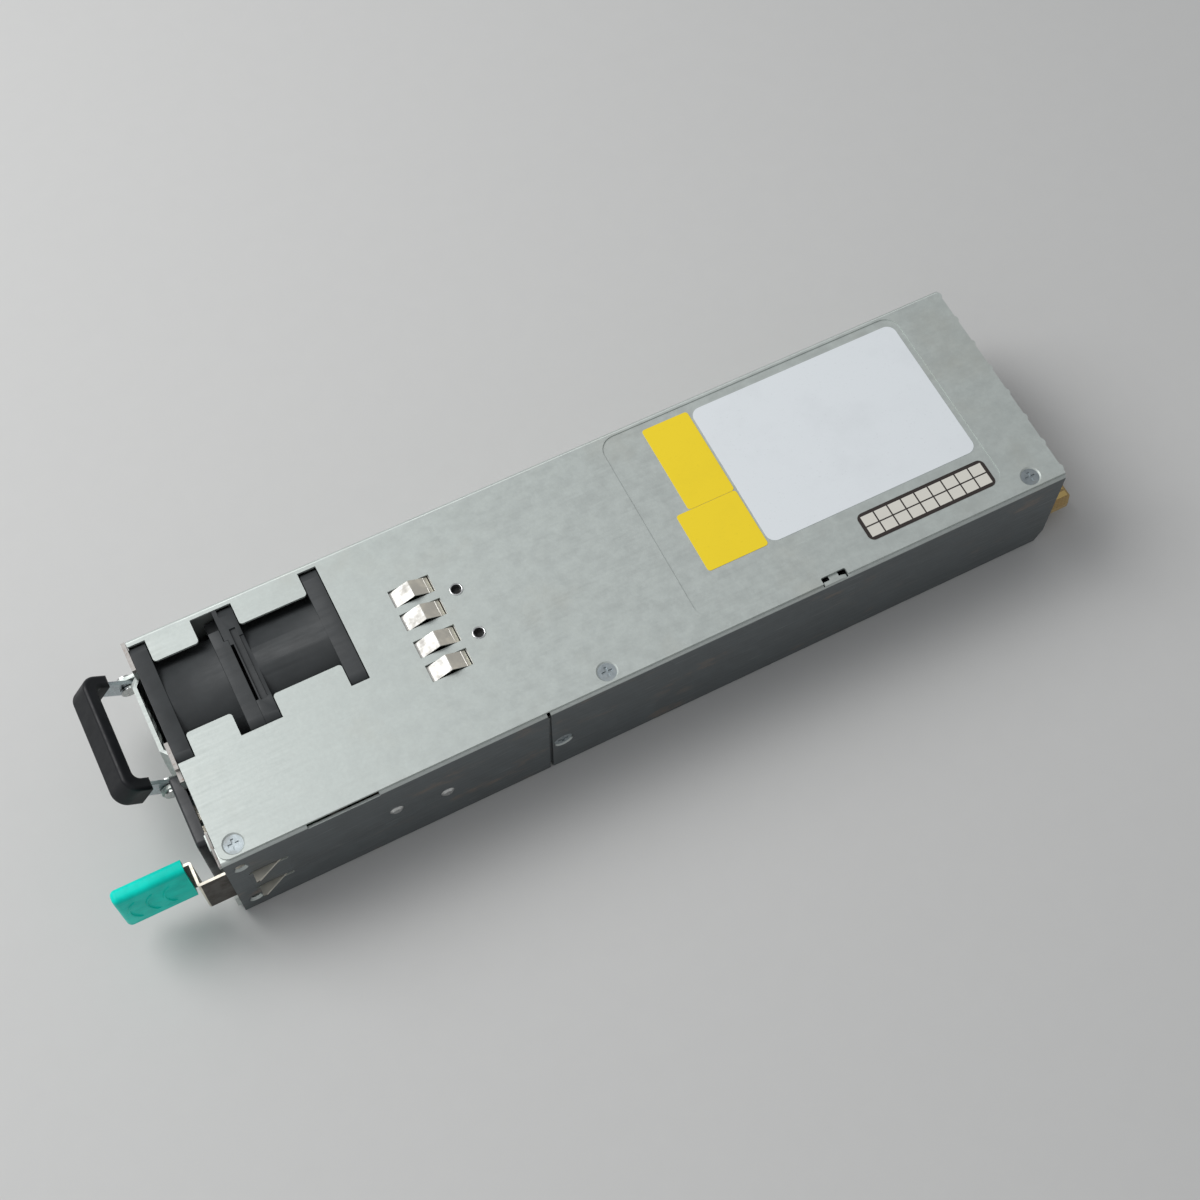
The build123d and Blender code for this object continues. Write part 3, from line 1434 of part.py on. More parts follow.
parts = {
    "top_cover": make_top_cover(),
    "base_front": make_base_front(),
    "base_rear": make_base_rear(),
    "front_panel": make_front_panel(),
    "rear_panel": make_rear_panel(),
    "cover_screws": group([spot * countersunk_screw() for spot in top_screw_spots + far_screw_spots]),
    "side_screw": side_screw_spot * countersunk_screw(),
    "latch_strip": make_latch_strip(),
    "latch_strip_root": make_latch_strip_root(),
    "latch_rivets": make_latch_rivets(),
    "release_tab": make_release_tab(),
    "handle_strap": make_handle_strap(),
    "handle_grip": make_handle_grip(),
    "handle_pins": make_handle_pins(),
    "front_fan_frame": make_front_fan_frame(),
    "rear_fan_frame": make_rear_fan_frame(),
    "ac_inlet_body": make_inlet_body(),
    "ac_inlet_pins": group([inlet_pin(*spot) for spot in inlet_pin_spots()]),
    "mains_leads": mains_leads,
    "earth_lead": earth_lead,
    "ground_spring": make_ground_spring(),
    "ground_spring_rivets": make_ground_spring_rivets(),
    "status_led": make_status_led(),
    "rating_label": sticker(rating_label_x, rating_label_y, rating_label_corner),
    "upper_yellow_label": sticker(upper_yellow_x, (label_split_y + label_gap, yellow_top_y), yellow_corner),
    "lower_yellow_label": sticker(lower_yellow_x, (rating_label_y[0], label_split_y), yellow_corner),
    "inspection_label": sticker(inspection_label_x, inspection_label_y, inspection_corner),
    "insulator_sheet": make_insulator(),
    "main_board": make_main_board(),
    "card_edge_contacts": make_card_fingers(),
    "board_screws": make_board_screws(),
    "fuse": make_fuse(),
    "emi_chokes": make_emi_chokes(),
    "x_capacitors": make_x_capacitors(),
    "inrush_relay": make_relay(),
    "bridge_rectifier": make_bridge(),
    "pfc_choke": make_pfc_choke(),
    "bulk_capacitors": make_bulk_capacitors(),
    "primary_heatsink": make_primary_heatsink(),
    "primary_transistors": make_primary_transistors(),
    "resonant_choke": make_resonant_choke(),
    "transformer_core": make_transformer_core(),
    "transformer_winding": make_transformer_winding(),
    "standby_transformer": make_standby_transformer(),
    "secondary_heatsink": make_secondary_heatsink(),
    "secondary_transistors": make_secondary_transistors(),
    "output_capacitors": make_output_capacitors(),
    "output_busbars": make_output_busbars(),
    "control_board": make_control_board(),
}

for side, length, blades, place in (
    ("front", fan_front_length, front_blades, place_front_fan),
    ("rear", fan_rear_length, rear_blades, place_rear_fan),
):
    parts[f"{side}_fan_rotor"] = place(fan_rotor(length, blades))
    parts[f"{side}_fan_shaft"] = place(fan_shaft(length))
    parts[f"{side}_fan_bearings"] = place(fan_bearings(length))
    parts[f"{side}_fan_stator"] = place(fan_stator(length))
    parts[f"{side}_fan_circuit"] = place(fan_circuit(length))

os.makedirs("parts", exist_ok=True)
for name, shape in parts.items():
    export_step(shape, f"parts/{name}.step")
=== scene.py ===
import math

import bmesh
import bpy
from bpy.props import FloatProperty, FloatVectorProperty, IntProperty, PointerProperty
from bpy.types import Operator, Panel, PropertyGroup
from mathutils import Matrix, Vector


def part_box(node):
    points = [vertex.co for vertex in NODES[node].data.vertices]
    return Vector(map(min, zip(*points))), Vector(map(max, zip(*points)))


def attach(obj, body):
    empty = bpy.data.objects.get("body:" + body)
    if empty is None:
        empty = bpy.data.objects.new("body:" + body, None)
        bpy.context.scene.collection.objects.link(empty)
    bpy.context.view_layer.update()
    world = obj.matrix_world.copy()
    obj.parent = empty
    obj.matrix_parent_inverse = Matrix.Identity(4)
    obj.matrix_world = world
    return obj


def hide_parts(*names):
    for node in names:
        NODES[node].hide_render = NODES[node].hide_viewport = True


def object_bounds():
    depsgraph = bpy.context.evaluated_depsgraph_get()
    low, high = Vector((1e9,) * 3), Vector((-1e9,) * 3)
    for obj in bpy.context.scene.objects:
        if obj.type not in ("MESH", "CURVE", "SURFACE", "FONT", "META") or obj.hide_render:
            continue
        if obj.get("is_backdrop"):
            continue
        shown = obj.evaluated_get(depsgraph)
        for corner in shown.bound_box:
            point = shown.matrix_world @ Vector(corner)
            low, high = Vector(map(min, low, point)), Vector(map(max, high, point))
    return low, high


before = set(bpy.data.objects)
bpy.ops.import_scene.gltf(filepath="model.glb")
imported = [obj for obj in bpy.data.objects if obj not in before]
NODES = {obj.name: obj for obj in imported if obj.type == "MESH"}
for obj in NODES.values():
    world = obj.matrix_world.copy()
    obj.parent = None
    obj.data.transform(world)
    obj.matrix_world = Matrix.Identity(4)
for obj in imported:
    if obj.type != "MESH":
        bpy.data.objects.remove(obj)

bl_info = {
    "name": "Hot Swap Power Supply",
    "version": (1, 0, 0),
    "blender": (4, 5, 0),
    "location": "View3D > Sidebar > Supply",
    "description": "Finishes, labels, fans and stage for a slide-in server power supply",
    "category": "Object",
}

MM = 0.001


# Places and sizes in the shared frame, in millimetres

def corners(node):
    """A node's lowest and highest corners, to a micron."""
    return [[round(value / MM, 3) for value in corner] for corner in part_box(node)]


COVER_FRONT = corners("top_cover")[0][0]
COVER_TOP = corners("top_cover")[1][2]
NEAR_FACE = corners("base_front")[0][1]
ROOF = corners("base_front")[1][2]
PANEL_BACK = corners("front_fan_frame")[0][0]
PANEL_SHEET = 1.2
PANEL_FRONT = PANEL_BACK - PANEL_SHEET

WALL_HOLE_FROM_FRONT = 4.05
WALL_HOLE_HEIGHTS = (7.2, 32.6)
WALL_DIMPLE_RADII = (2.25, 1.45)
WALL_DIMPLE_DEPTH = 0.75

CATCH_FROM_FRONT = 183.8
CATCH_FLAT = 5.7
CATCH_RAMP = 1.6
CATCH_IN = 0.3
CATCH_WIDTH = 1.15
CATCH_BELOW_TOP = 0.4
CATCH_RAMP_BELOW_TOP = 1.2
CATCH_FOOT_BELOW_TOP = 1.5

INLET_Y = -15.35
INLET_BODY_HALF = 10.2
INLET_BODY_TOP = 33.55
INLET_FLANGE_TOP = 34.0
INLET_OPEN_END = -9.4
INLET_LIP = 0.4
INLET_GROOVE_DEPTH = 2.45

WINDOW_DEPTH = 6.3
WINDOW_RAISED_FROM = 32.5
WINDOW_BELOW_TOP = 2.6
CORNER_CUT = (3.5, 6.5)
PANEL_THINNED_BY = 0.45
PANEL_THINNED_BELOW_TOP = 2.8

LAMP_PLACE = (-7.5, 36.6)
LAMP_RADIUS = 1.45
LAMP_PROUD = 0.15

LEAF_FROM_FRONT = 71.8
LEAF_LENGTH = 11.95
LEAF_RIDGE_AT = 6.27
LEAF_ROOT = 0.7
LEAF_SHEET = 0.35
LEAF_CREASE_BEFORE_END = 1.4
LEAF_PLACES = ((14.8, 5.2), (6.65, 5.1), (-2.7, 5.1), (-10.8, 5.05))
LEAF_REAR_STRIP = (0.35, 3.85)

EYELET_FROM_FRONT = 89.6
EYELETS_Y = (9.66, -5.52)
EYELET_RIM = 1.75
EYELET_ROLL = 0.24
# The dark discs of painted shade in the eyelets
EYELET_SHADE_DISC_RADIUS = 1.48
EYELET_SHADE_DISC_HEIGHTS = (0.05, 0.35)

FAN_BARREL = 19.72
FAN_KEY_ARC = (49.0, 54.0, 59.0, 62.5)
FAN_KEY_REACH = 1.1
FAN_KEY_CLEARANCE = 0.15
FAN_GAP_SIDES = (3.4, 22.2)
FAN_GAP_WIDTH = 0.9
FAN_GAP_DEPTH = 6.0
FAN_STEP_START = 3.3
FAN_STEP_WIDTH = 1.3
FAN_STEP_FAR = 24.0
FAN_STEP_DEPTH = 0.35

TAB_THICKNESS = 4.4
TAB_BEHIND_CAD = 0.2
TAB_LOWERED = 1.1
TAB_ROUND = 1.6
TAB_RIDGES = 3
TAB_RIDGE_FIRST = 8.5
TAB_RIDGE_PITCH = 5.0
TAB_RIDGE_RADIUS = 9.0
TAB_RIDGE_HALF = 6.6
TAB_RIDGE_HEIGHT = 0.38

# The camera fitted to the photograph: its place in millimetres, and its right and down directions
CAMERA_EYE = (-115.29, -222.20, 517.13)
CAMERA_RIGHT = (0.89253569, -0.45097339, 0.00174377)
CAMERA_DOWN = (-0.40345048, -0.80019743, -0.44374742)


# Shader building

def add(tree, kind, settings=None, **inputs):
    """A node with its settings, and its inputs set to a value or linked to another node's socket."""
    node = tree.nodes.new(kind)
    for key, value in (settings or {}).items():
        setattr(node, key, value)
    for key, value in inputs.items():
        socket = node.inputs[int(key[1:])] if key[0] == "i" and key[1:].isdigit() else node.inputs[key]
        if isinstance(value, bpy.types.NodeSocket):
            tree.links.new(value, socket)
        else:
            socket.default_value = value
    return node


def place_of(tree):
    """The position on the piece, in metres of the shared frame."""
    return add(tree, "ShaderNodeTexCoord").outputs["Object"]


def cloud(tree, vector, per_metre, detail=3.0, roughness=0.55):
    return add(tree, "ShaderNodeTexNoise", Vector=vector, Scale=per_metre, Detail=detail,
               Roughness=roughness).outputs["Fac"]


def stretched(tree, vector, scale):
    return add(tree, "ShaderNodeMapping", Vector=vector, Scale=scale).outputs["Vector"]


def spread(tree, value, low, high, out_low, out_high):
    """A value between low and high, carried over to between out_low and out_high."""
    settings = {"interpolation_type": "SMOOTHSTEP"}
    return add(tree, "ShaderNodeMapRange", settings, Value=value, i1=low, i2=high,
               i3=out_low, i4=out_high).outputs["Result"]


def blend_colours(tree, share, first, second):
    mix = add(tree, "ShaderNodeMix", {"data_type": "RGBA"})
    for socket, value in ((mix.inputs[0], share), (mix.inputs[6], first), (mix.inputs[7], second)):
        if isinstance(value, bpy.types.NodeSocket):
            tree.links.new(value, socket)
        elif socket == mix.inputs[0]:
            socket.default_value = value
        else:
            socket.default_value = (*value, 1.0)
    return mix.outputs[2]


def join_masks(tree, operation, first, second):
    settings = {"operation": operation, "use_clamp": True}
    return add(tree, "ShaderNodeMath", settings, i0=first, i1=second).outputs[0]


def without_sign(tree, value):
    return add(tree, "ShaderNodeMath", {"operation": "ABSOLUTE"}, i0=value).outputs[0]


def relief(tree, height, distance, strength=1.0, under=None):
    """A bump from a height between 0 and 1 that stands for this distance."""
    node = add(tree, "ShaderNodeBump", Height=height, Distance=distance, Strength=strength)
    if under is not None:
        tree.links.new(under, node.inputs["Normal"])
    return node.outputs["Normal"]


def principled(name, roughness, metallic=0.0, **sockets):
    """A new node material, with what is the same all over set on the shader itself."""
    material = bpy.data.materials.new(name)
    material.use_nodes = True
    shader = material.node_tree.nodes["Principled BSDF"]
    shader.inputs["Roughness"].default_value = roughness
    shader.inputs["Metallic"].default_value = metallic
    for key, value in sockets.items():
        shader.inputs[key.replace("_", " ")].default_value = value
    return material, material.node_tree, shader.inputs


def facing_part(tree, axis):
    """How much a face looks along one axis, from -1 to 1."""
    facing = add(tree, "ShaderNodeNewGeometry").outputs["Normal"]
    return add(tree, "ShaderNodeSeparateXYZ", Vector=facing).outputs[axis]


def darker(colour, share):
    return tuple(channel * share for channel in colour)


# Finishes

TARNISH = (0.30, 0.22, 0.15)
LACQUER_PAST_COVER = 2.2


def zinc_sheet(name, colour, wear, roughness, band_top=None, upright_shade=None):
    """Electro-galvanised sheet: faint spangle, cloudy patches, rolling grain and a little handling dirt.

    Upright faces take a darker tone of painted shade, where this finish has one.
    """
    material, tree, shader = principled(name, roughness, 0.45, Specular_IOR_Level=0.5)
    place = place_of(tree)
    spangle = add(tree, "ShaderNodeTexVoronoi", Vector=place, Scale=620.0, Randomness=1.0)
    fine = cloud(tree, place, 2600.0, 2.0)
    patches = cloud(tree, place, 230.0, 4.0, 0.6)
    grain = cloud(tree, stretched(tree, place, (60.0, 1500.0, 1500.0)), 1.0, 2.0)
    tone = blend_colours(tree, spread(tree, patches, 0.3, 0.7, 0.0, 1.0), darker(colour, 0.93), colour)
    cells = add(tree, "ShaderNodeSeparateColor", Color=spangle.outputs["Color"]).outputs[0]
    flakes = cloud(tree, place, 900.0, 2.0, 0.5)
    tone = blend_colours(tree, spread(tree, flakes, 0.35, 0.65, 0.0, 0.22), tone, darker(colour, 0.8))
    tone = blend_colours(tree, spread(tree, cells, 0.0, 1.0, 0.0, 0.12), tone, darker(colour, 0.78))
    tone = blend_colours(tree, spread(tree, fine, 0.3, 0.75, 0.0, 0.15), tone, darker(colour, 1.1))
    dirt = cloud(tree, place, 38.0, 5.0, 0.62)
    warm = (colour[0] * 0.9, colour[1] * 0.84, colour[2] * 0.78)
    tone = blend_colours(tree, spread(tree, dirt, 0.5, 0.74, 0.0, wear), tone, warm)
    if band_top is not None:
        # Towards the top edge the tone goes a darker taupe, and rust specks gather there.
        height = add(tree, "ShaderNodeSeparateXYZ", Vector=place).outputs["Z"]
        near_edge = spread(tree, height, band_top - 2.4 * MM, band_top - 0.9 * MM, 0.0, 1.0)
        tone = blend_colours(tree, spread(tree, near_edge, 0.0, 1.0, 0.0, 0.75), tone, (0.33, 0.295, 0.28))
        specks = spread(tree, cloud(tree, place, 520.0, 5.0, 0.75), 0.52, 0.68, 0.0, 0.6)
        rusty = join_masks(tree, "MULTIPLY", near_edge, specks)
        tone = blend_colours(tree, rusty, tone, (0.19, 0.085, 0.045))
    # Painted shade: faces that stand upright take a darker tone, with smears and scratches on it, and faces
    # that look up keep the zinc tone.
    if upright_shade is not None:
        cloudy = spread(tree, patches, 0.3, 0.7, 0.0, 1.0)
        shade = blend_colours(tree, cloudy, darker(upright_shade, 0.86), darker(upright_shade, 1.06))
        smears = cloud(tree, stretched(tree, place, (55.0, 90.0, 130.0)), 1.0, 5.0, 0.7)
        smudge = spread(tree, smears, 0.56, 0.72, 0.0, 0.6)
        shade = blend_colours(tree, smudge, shade, (0.24, 0.19, 0.15))
        scratch = cloud(tree, stretched(tree, place, (90.0, 300.0, 1900.0)), 1.0, 2.0, 0.4)
        shade = blend_colours(tree, spread(tree, scratch, 0.66, 0.72, 0.0, 0.35), shade, darker(colour, 0.6))
        tone = blend_colours(tree, spread(tree, facing_part(tree, "Z"), 0.15, 0.45, 0.0, 1.0), shade, tone)
    tree.links.new(tone, shader["Base Color"])
    matt = add(tree, "ShaderNodeMath", {"operation": "ADD"}, i0=spread(tree, grain, 0.3, 0.7, -0.05, 0.05),
               i1=spread(tree, patches, 0.3, 0.7, roughness - 0.05, roughness + 0.06)).outputs[0]
    tree.links.new(matt, shader["Roughness"])
    bumps = relief(tree, fine, 0.012 * MM, 0.35)
    tree.links.new(relief(tree, cells, 0.008 * MM, 0.3, bumps), shader["Normal"])
    return material


def drawn_steel(name, colour, roughness, along=(40.0, 1600.0, 1600.0), amount=0.15, flank_shade=None, rear_painted_light=None):
    """Bright plated steel with fine lines along one way and a warm tarnish in patches.

    Faces that look straight to the side take a darker tone of painted shade, and faces that look to the rear
    get a brighter tone of painted light, where this finish has them.
    """
    material, tree, shader = principled(name, roughness, 1.0)
    place = place_of(tree)
    lines = cloud(tree, stretched(tree, place, along), 1.0, 3.0)
    patches = cloud(tree, place, 260.0, 4.0, 0.6)
    tone = blend_colours(tree, spread(tree, lines, 0.25, 0.75, 0.0, 1.0), darker(colour, 0.86), colour)
    tone = blend_colours(tree, spread(tree, patches, 0.5, 0.8, 0.0, amount), tone, TARNISH)
    # Painted shade: faces that look straight to the side take the darker flank tone.
    if flank_shade is not None:
        sideways = without_sign(tree, facing_part(tree, "Y"))
        tone = blend_colours(tree, spread(tree, sideways, 0.96, 0.985, 0.0, 1.0), tone, flank_shade)
    # Painted light: faces that look to the rear take a brighter, warmer tone.
    if rear_painted_light is not None:
        tone = blend_colours(tree, spread(tree, facing_part(tree, "X"), 0.2, 0.35, 0.0, 1.0), tone, rear_painted_light)
    tree.links.new(tone, shader["Base Color"])
    tree.links.new(spread(tree, patches, 0.3, 0.75, roughness * 0.75, roughness * 1.35), shader["Roughness"])
    tree.links.new(relief(tree, lines, 0.006 * MM, 0.3), shader["Normal"])
    return material


def moulded(name, colour, roughness, grain_per_metre=2200.0, grain_depth=0.012, dust=0.12, dust_colour=None,
            **sockets):
    """Moulded plastic: spark-eroded grain, cloudy tone, and dust and rub marks where it is handled."""
    material, tree, shader = principled(name, roughness, 0.0, **sockets)
    place = place_of(tree)
    grain = cloud(tree, place, grain_per_metre, 3.0, 0.6)
    patches = cloud(tree, place, 170.0, 4.0, 0.6)
    rub = cloud(tree, stretched(tree, place, (70.0, 420.0, 260.0)), 1.0, 4.0, 0.65)
    cloudy = spread(tree, patches, 0.3, 0.72, 0.0, 1.0)
    tone = blend_colours(tree, cloudy, darker(colour, 0.86), darker(colour, 1.06))
    pale = dust_colour or tuple(channel * 0.6 + 0.12 for channel in colour)
    tone = blend_colours(tree, spread(tree, rub, 0.55, 0.8, 0.0, dust), tone, pale)
    tree.links.new(tone, shader["Base Color"])
    tree.links.new(spread(tree, rub, 0.35, 0.75, roughness - 0.05, roughness + 0.1), shader["Roughness"])
    tree.links.new(relief(tree, grain, grain_depth * MM, 0.6), shader["Normal"])
    return material


def sticker_film(name, colour, roughness=0.36):
    """Printed polyester film: even colour, a little grime, and a faint waviness where it is stuck down."""
    material, tree, shader = principled(name, roughness, 0.0, Coat_Weight=0.15, Coat_Roughness=0.25)
    place = place_of(tree)
    grime = cloud(tree, place, 55.0, 5.0, 0.65)
    specks = cloud(tree, place, 1400.0, 2.0)
    tone = blend_colours(tree, spread(tree, grime, 0.45, 0.75, 0.0, 0.25), colour, darker(colour, 0.84))
    tone = blend_colours(tree, spread(tree, specks, 0.62, 0.75, 0.0, 0.2), tone, darker(colour, 0.7))
    tree.links.new(tone, shader["Base Color"])
    tree.links.new(relief(tree, cloud(tree, place, 120.0, 2.0), 0.05 * MM, 0.3), shader["Normal"])
    return material


def wound_wire(name, colour, gap, turns_per_metre, bands="X", roughness=0.3):
    """Enamelled wire or tape laid side by side."""
    material, tree, shader = principled(name, roughness, 0.35, Coat_Weight=0.3, Coat_Roughness=0.2)
    place = place_of(tree)
    wave = add(tree, "ShaderNodeTexWave", {"bands_direction": bands}, Vector=place, Scale=turns_per_metre,
               Distortion=0.6, Detail=1.0).outputs["Fac"]
    tone = blend_colours(tree, spread(tree, wave, 0.1, 0.5, 0.0, 1.0), gap, colour)
    tree.links.new(tone, shader["Base Color"])
    tree.links.new(relief(tree, wave, 0.2 * MM, 0.7), shader["Normal"])
    return material


def laminate(name):
    """Glass laminate of the boards: woven tan core under a thin green lacquer that stops behind the cover."""
    material, tree, shader = principled(name, 0.4, 0.0, Coat_Weight=0.2, Coat_Roughness=0.2)
    place = place_of(tree)
    weave = add(tree, "ShaderNodeTexChecker", Vector=place, Scale=1500.0).outputs["Fac"]
    clouds = cloud(tree, place, 150.0, 4.0)
    tan = blend_colours(tree, weave, (0.50, 0.36, 0.15), (0.44, 0.31, 0.12))
    tan = blend_colours(tree, spread(tree, clouds, 0.35, 0.7, 0.0, 0.5), tan, (0.58, 0.30, 0.07))
    lacquer = blend_colours(tree, clouds, (0.012, 0.085, 0.03), (0.02, 0.13, 0.05))
    along = add(tree, "ShaderNodeSeparateXYZ", Vector=place).outputs["X"]
    upright = without_sign(tree, facing_part(tree, "Z"))
    flat = join_masks(tree, "GREATER_THAN", upright, 0.7)
    lacquer_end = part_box("top_cover")[1].x + LACQUER_PAST_COVER * MM
    inside = join_masks(tree, "LESS_THAN", along, lacquer_end)
    tone = blend_colours(tree, join_masks(tree, "MULTIPLY", flat, inside), tan, lacquer)
    tree.links.new(tone, shader["Base Color"])
    tree.links.new(relief(tree, weave, 0.01 * MM, 0.3), shader["Normal"])
    return material


# Piece tools

def dress(nodes, material):
    """Puts a finish on CAD nodes that keep their shape."""
    for node in nodes:
        piece = NODES[node]
        piece.data.materials.clear()
        piece.data.materials.append(material)


def soften(piece, width, segments=2, angle=40.0):
    """Rolls a piece's sharp edges over, without touching its mesh."""
    weld = piece.modifiers.new("joined_corners", "WELD")
    weld.merge_threshold = 0.001 * MM
    flat = piece.modifiers.new("whole_faces", "DECIMATE")
    flat.decimate_type = "DISSOLVE"
    flat.angle_limit = math.radians(0.6)
    flat.delimit = {"NORMAL"}
    edge = piece.modifiers.new("rolled_edges", "BEVEL")
    edge.width = width * MM
    edge.segments = segments
    edge.limit_method = "ANGLE"
    edge.angle_limit = math.radians(angle)
    edge.harden_normals = True


def new_piece(name, mesh_builder, material, body="casing", smooth=40.0):
    """An object from a bmesh that the builder fills, with its finish, riding on its body."""
    mesh = mesh_of(name, mesh_builder)
    piece = bpy.data.objects.new(name, mesh)
    bpy.context.scene.collection.objects.link(piece)
    mesh.materials.append(material)
    mesh.shade_smooth()
    mesh.set_sharp_from_angle(angle=math.radians(smooth))
    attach(piece, body)
    return piece


def box_into(bm, low, high):
    """A closed box between two corners."""
    middle = [(a + b) / 2 for a, b in zip(low, high)]
    size = [b - a for a, b in zip(low, high)]
    bmesh.ops.create_cube(bm, size=1.0, matrix=Matrix.Translation(middle) @ Matrix.Diagonal((*size, 1.0)))


def mm_box(x0, x1, y0, y1, z0, z1):
    """What builds a box, in millimetres of the shared frame."""
    return lambda bm: box_into(bm, [v * MM for v in (x0, y0, z0)], [v * MM for v in (x1, y1, z1)])


def prism(axis, points, start, end):
    """What builds an outline's sweep along one axis, its places along the other two axes in millimetres."""
    def place(pair, along):
        corner = list(pair)
        corner.insert("XYZ".index(axis), along)
        return [v * MM for v in corner]

    def build(bm):
        rings = [[bm.verts.new(place(pair, along)) for pair in points] for along in (start, end)]
        bm.faces.new(rings[0])
        bm.faces.new(reversed(rings[1]))
        for i in range(len(points)):
            j = (i + 1) % len(points)
            bm.faces.new((rings[0][i], rings[1][i], rings[1][j], rings[0][j]))

    return build


def dish(axis, centre, radii, start, end, segments=32):
    """What builds a cone's slice or a disc along one axis, in millimetres."""
    turn = {"X": Matrix.Rotation(math.pi / 2, 4, "Y"), "Y": Matrix.Rotation(-math.pi / 2, 4, "X"),
            "Z": Matrix.Identity(4)}[axis]
    middle = list(centre)
    middle.insert("XYZ".index(axis), (start + end) / 2)

    def build(bm):
        spot = Matrix.Translation(Vector(middle) * MM) @ turn
        bmesh.ops.create_cone(bm, cap_ends=True, segments=segments, matrix=spot, depth=(end - start) * MM,
                              radius1=radii[0] * MM, radius2=radii[1] * MM)

    return build


def mesh_of(name, builder):
    mesh = bpy.data.meshes.new(name)
    bm = bmesh.new()
    builder(bm)
    bmesh.ops.recalc_face_normals(bm, faces=bm.faces)
    bm.to_mesh(mesh)
    bm.free()
    return mesh


def carved(name, node, body, material, cuts=(), joins=()):
    """A piece with a CAD node's form, shapes joined to it and shapes cut out, that stands for the node."""
    mesh = bpy.data.meshes.new(name)
    bm = bmesh.new()
    bm.from_mesh(NODES[node].data)
    bmesh.ops.remove_doubles(bm, verts=bm.verts, dist=0.001 * MM)
    bm.to_mesh(mesh)
    bm.free()
    piece = bpy.data.objects.new(name, mesh)
    bpy.context.scene.collection.objects.link(piece)
    tools = []
    for operation, builders in (("UNION", joins), ("DIFFERENCE", cuts)):
        for builder in builders:
            tool = bpy.data.objects.new(name + "_tool", mesh_of(name + "_tool", builder))
            bpy.context.scene.collection.objects.link(tool)
            tools.append(tool)
            step = piece.modifiers.new(operation.lower(), "BOOLEAN")
            step.operation = operation
            step.solver = "EXACT"
            step.object = tool
    graph = bpy.context.evaluated_depsgraph_get()
    finished = bpy.data.meshes.new_from_object(piece.evaluated_get(graph))
    piece.modifiers.clear()
    piece.data = finished
    for tool in tools:
        bpy.data.objects.remove(tool)
    if not finished.polygons:
        raise RuntimeError(name + " came out empty")
    finished.materials.clear()
    finished.materials.append(material)
    finished.shade_smooth()
    finished.set_sharp_from_angle(angle=math.radians(35.0))
    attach(piece, body)
    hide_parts(node)
    return piece


# Settings that a user would change

class SUPPLY_PG_casing(PropertyGroup):
    cover_colour: FloatVectorProperty(
        name="Cover colour", description="Zinc of the top cover", subtype="COLOR",
        default=(0.565, 0.61, 0.585))
    # Painted shade: the darker tone painted on the upright faces of the base and its near wall.
    wall_shade_colour: FloatVectorProperty(
        name="Wall colour", description="Zinc of the base and its near wall", subtype="COLOR",
        default=(0.12, 0.135, 0.14))
    wear: FloatProperty(
        name="Wear", description="Share of the surface with handling dirt", subtype="FACTOR", default=0.35)
    edge_roll: FloatProperty(
        name="Edge roll", description="Width of the rolled sheet edges, in millimetres", default=0.12)


class SUPPLY_PG_labels(PropertyGroup):
    film_colour: FloatVectorProperty(
        name="Film colour", description="The large label's film", subtype="COLOR",
        default=(0.82, 0.86, 0.885))
    yellow: FloatVectorProperty(
        name="Yellow", description="The two small labels' film", subtype="COLOR", default=(0.98, 0.735, 0.02))
    cells: IntProperty(name="Cells", description="Columns in the inspection label's grid", default=9)
    ink_proud: FloatProperty(
        name="Ink", description="How far the printing stands off its film, in millimetres", default=0.012)


class SUPPLY_PG_plastics(PropertyGroup):
    teal: FloatVectorProperty(
        name="Release tab", description="Moulded release tab", subtype="COLOR", default=(0.0, 0.72, 0.59))
    fan: FloatVectorProperty(
        name="Fan frames", description="Moulded fan frames", subtype="COLOR", default=(0.042, 0.046, 0.048))
    grip: FloatVectorProperty(
        name="Handle grip", description="Moulded handle grip", subtype="COLOR", default=(0.009, 0.010, 0.012))


class SUPPLY_PG_stage(PropertyGroup):
    floor_colour: FloatVectorProperty(
        name="Floor", description="Plain pale floor", subtype="COLOR", default=(0.62, 0.62, 0.61))
    lens: FloatProperty(
        name="Lens", description="Focal length on a 36 mm sensor", unit="CAMERA", default=56.497)
    key_power: FloatProperty(
        name="Key light", description="Power of the large soft light", unit="POWER", default=9.0)
    fill_power: FloatProperty(
        name="Fill light", description="Power of the fill light", unit="POWER", default=0.6)
    sky: FloatProperty(name="Sky", description="Strength of the even surround light", default=0.35)


# Casing

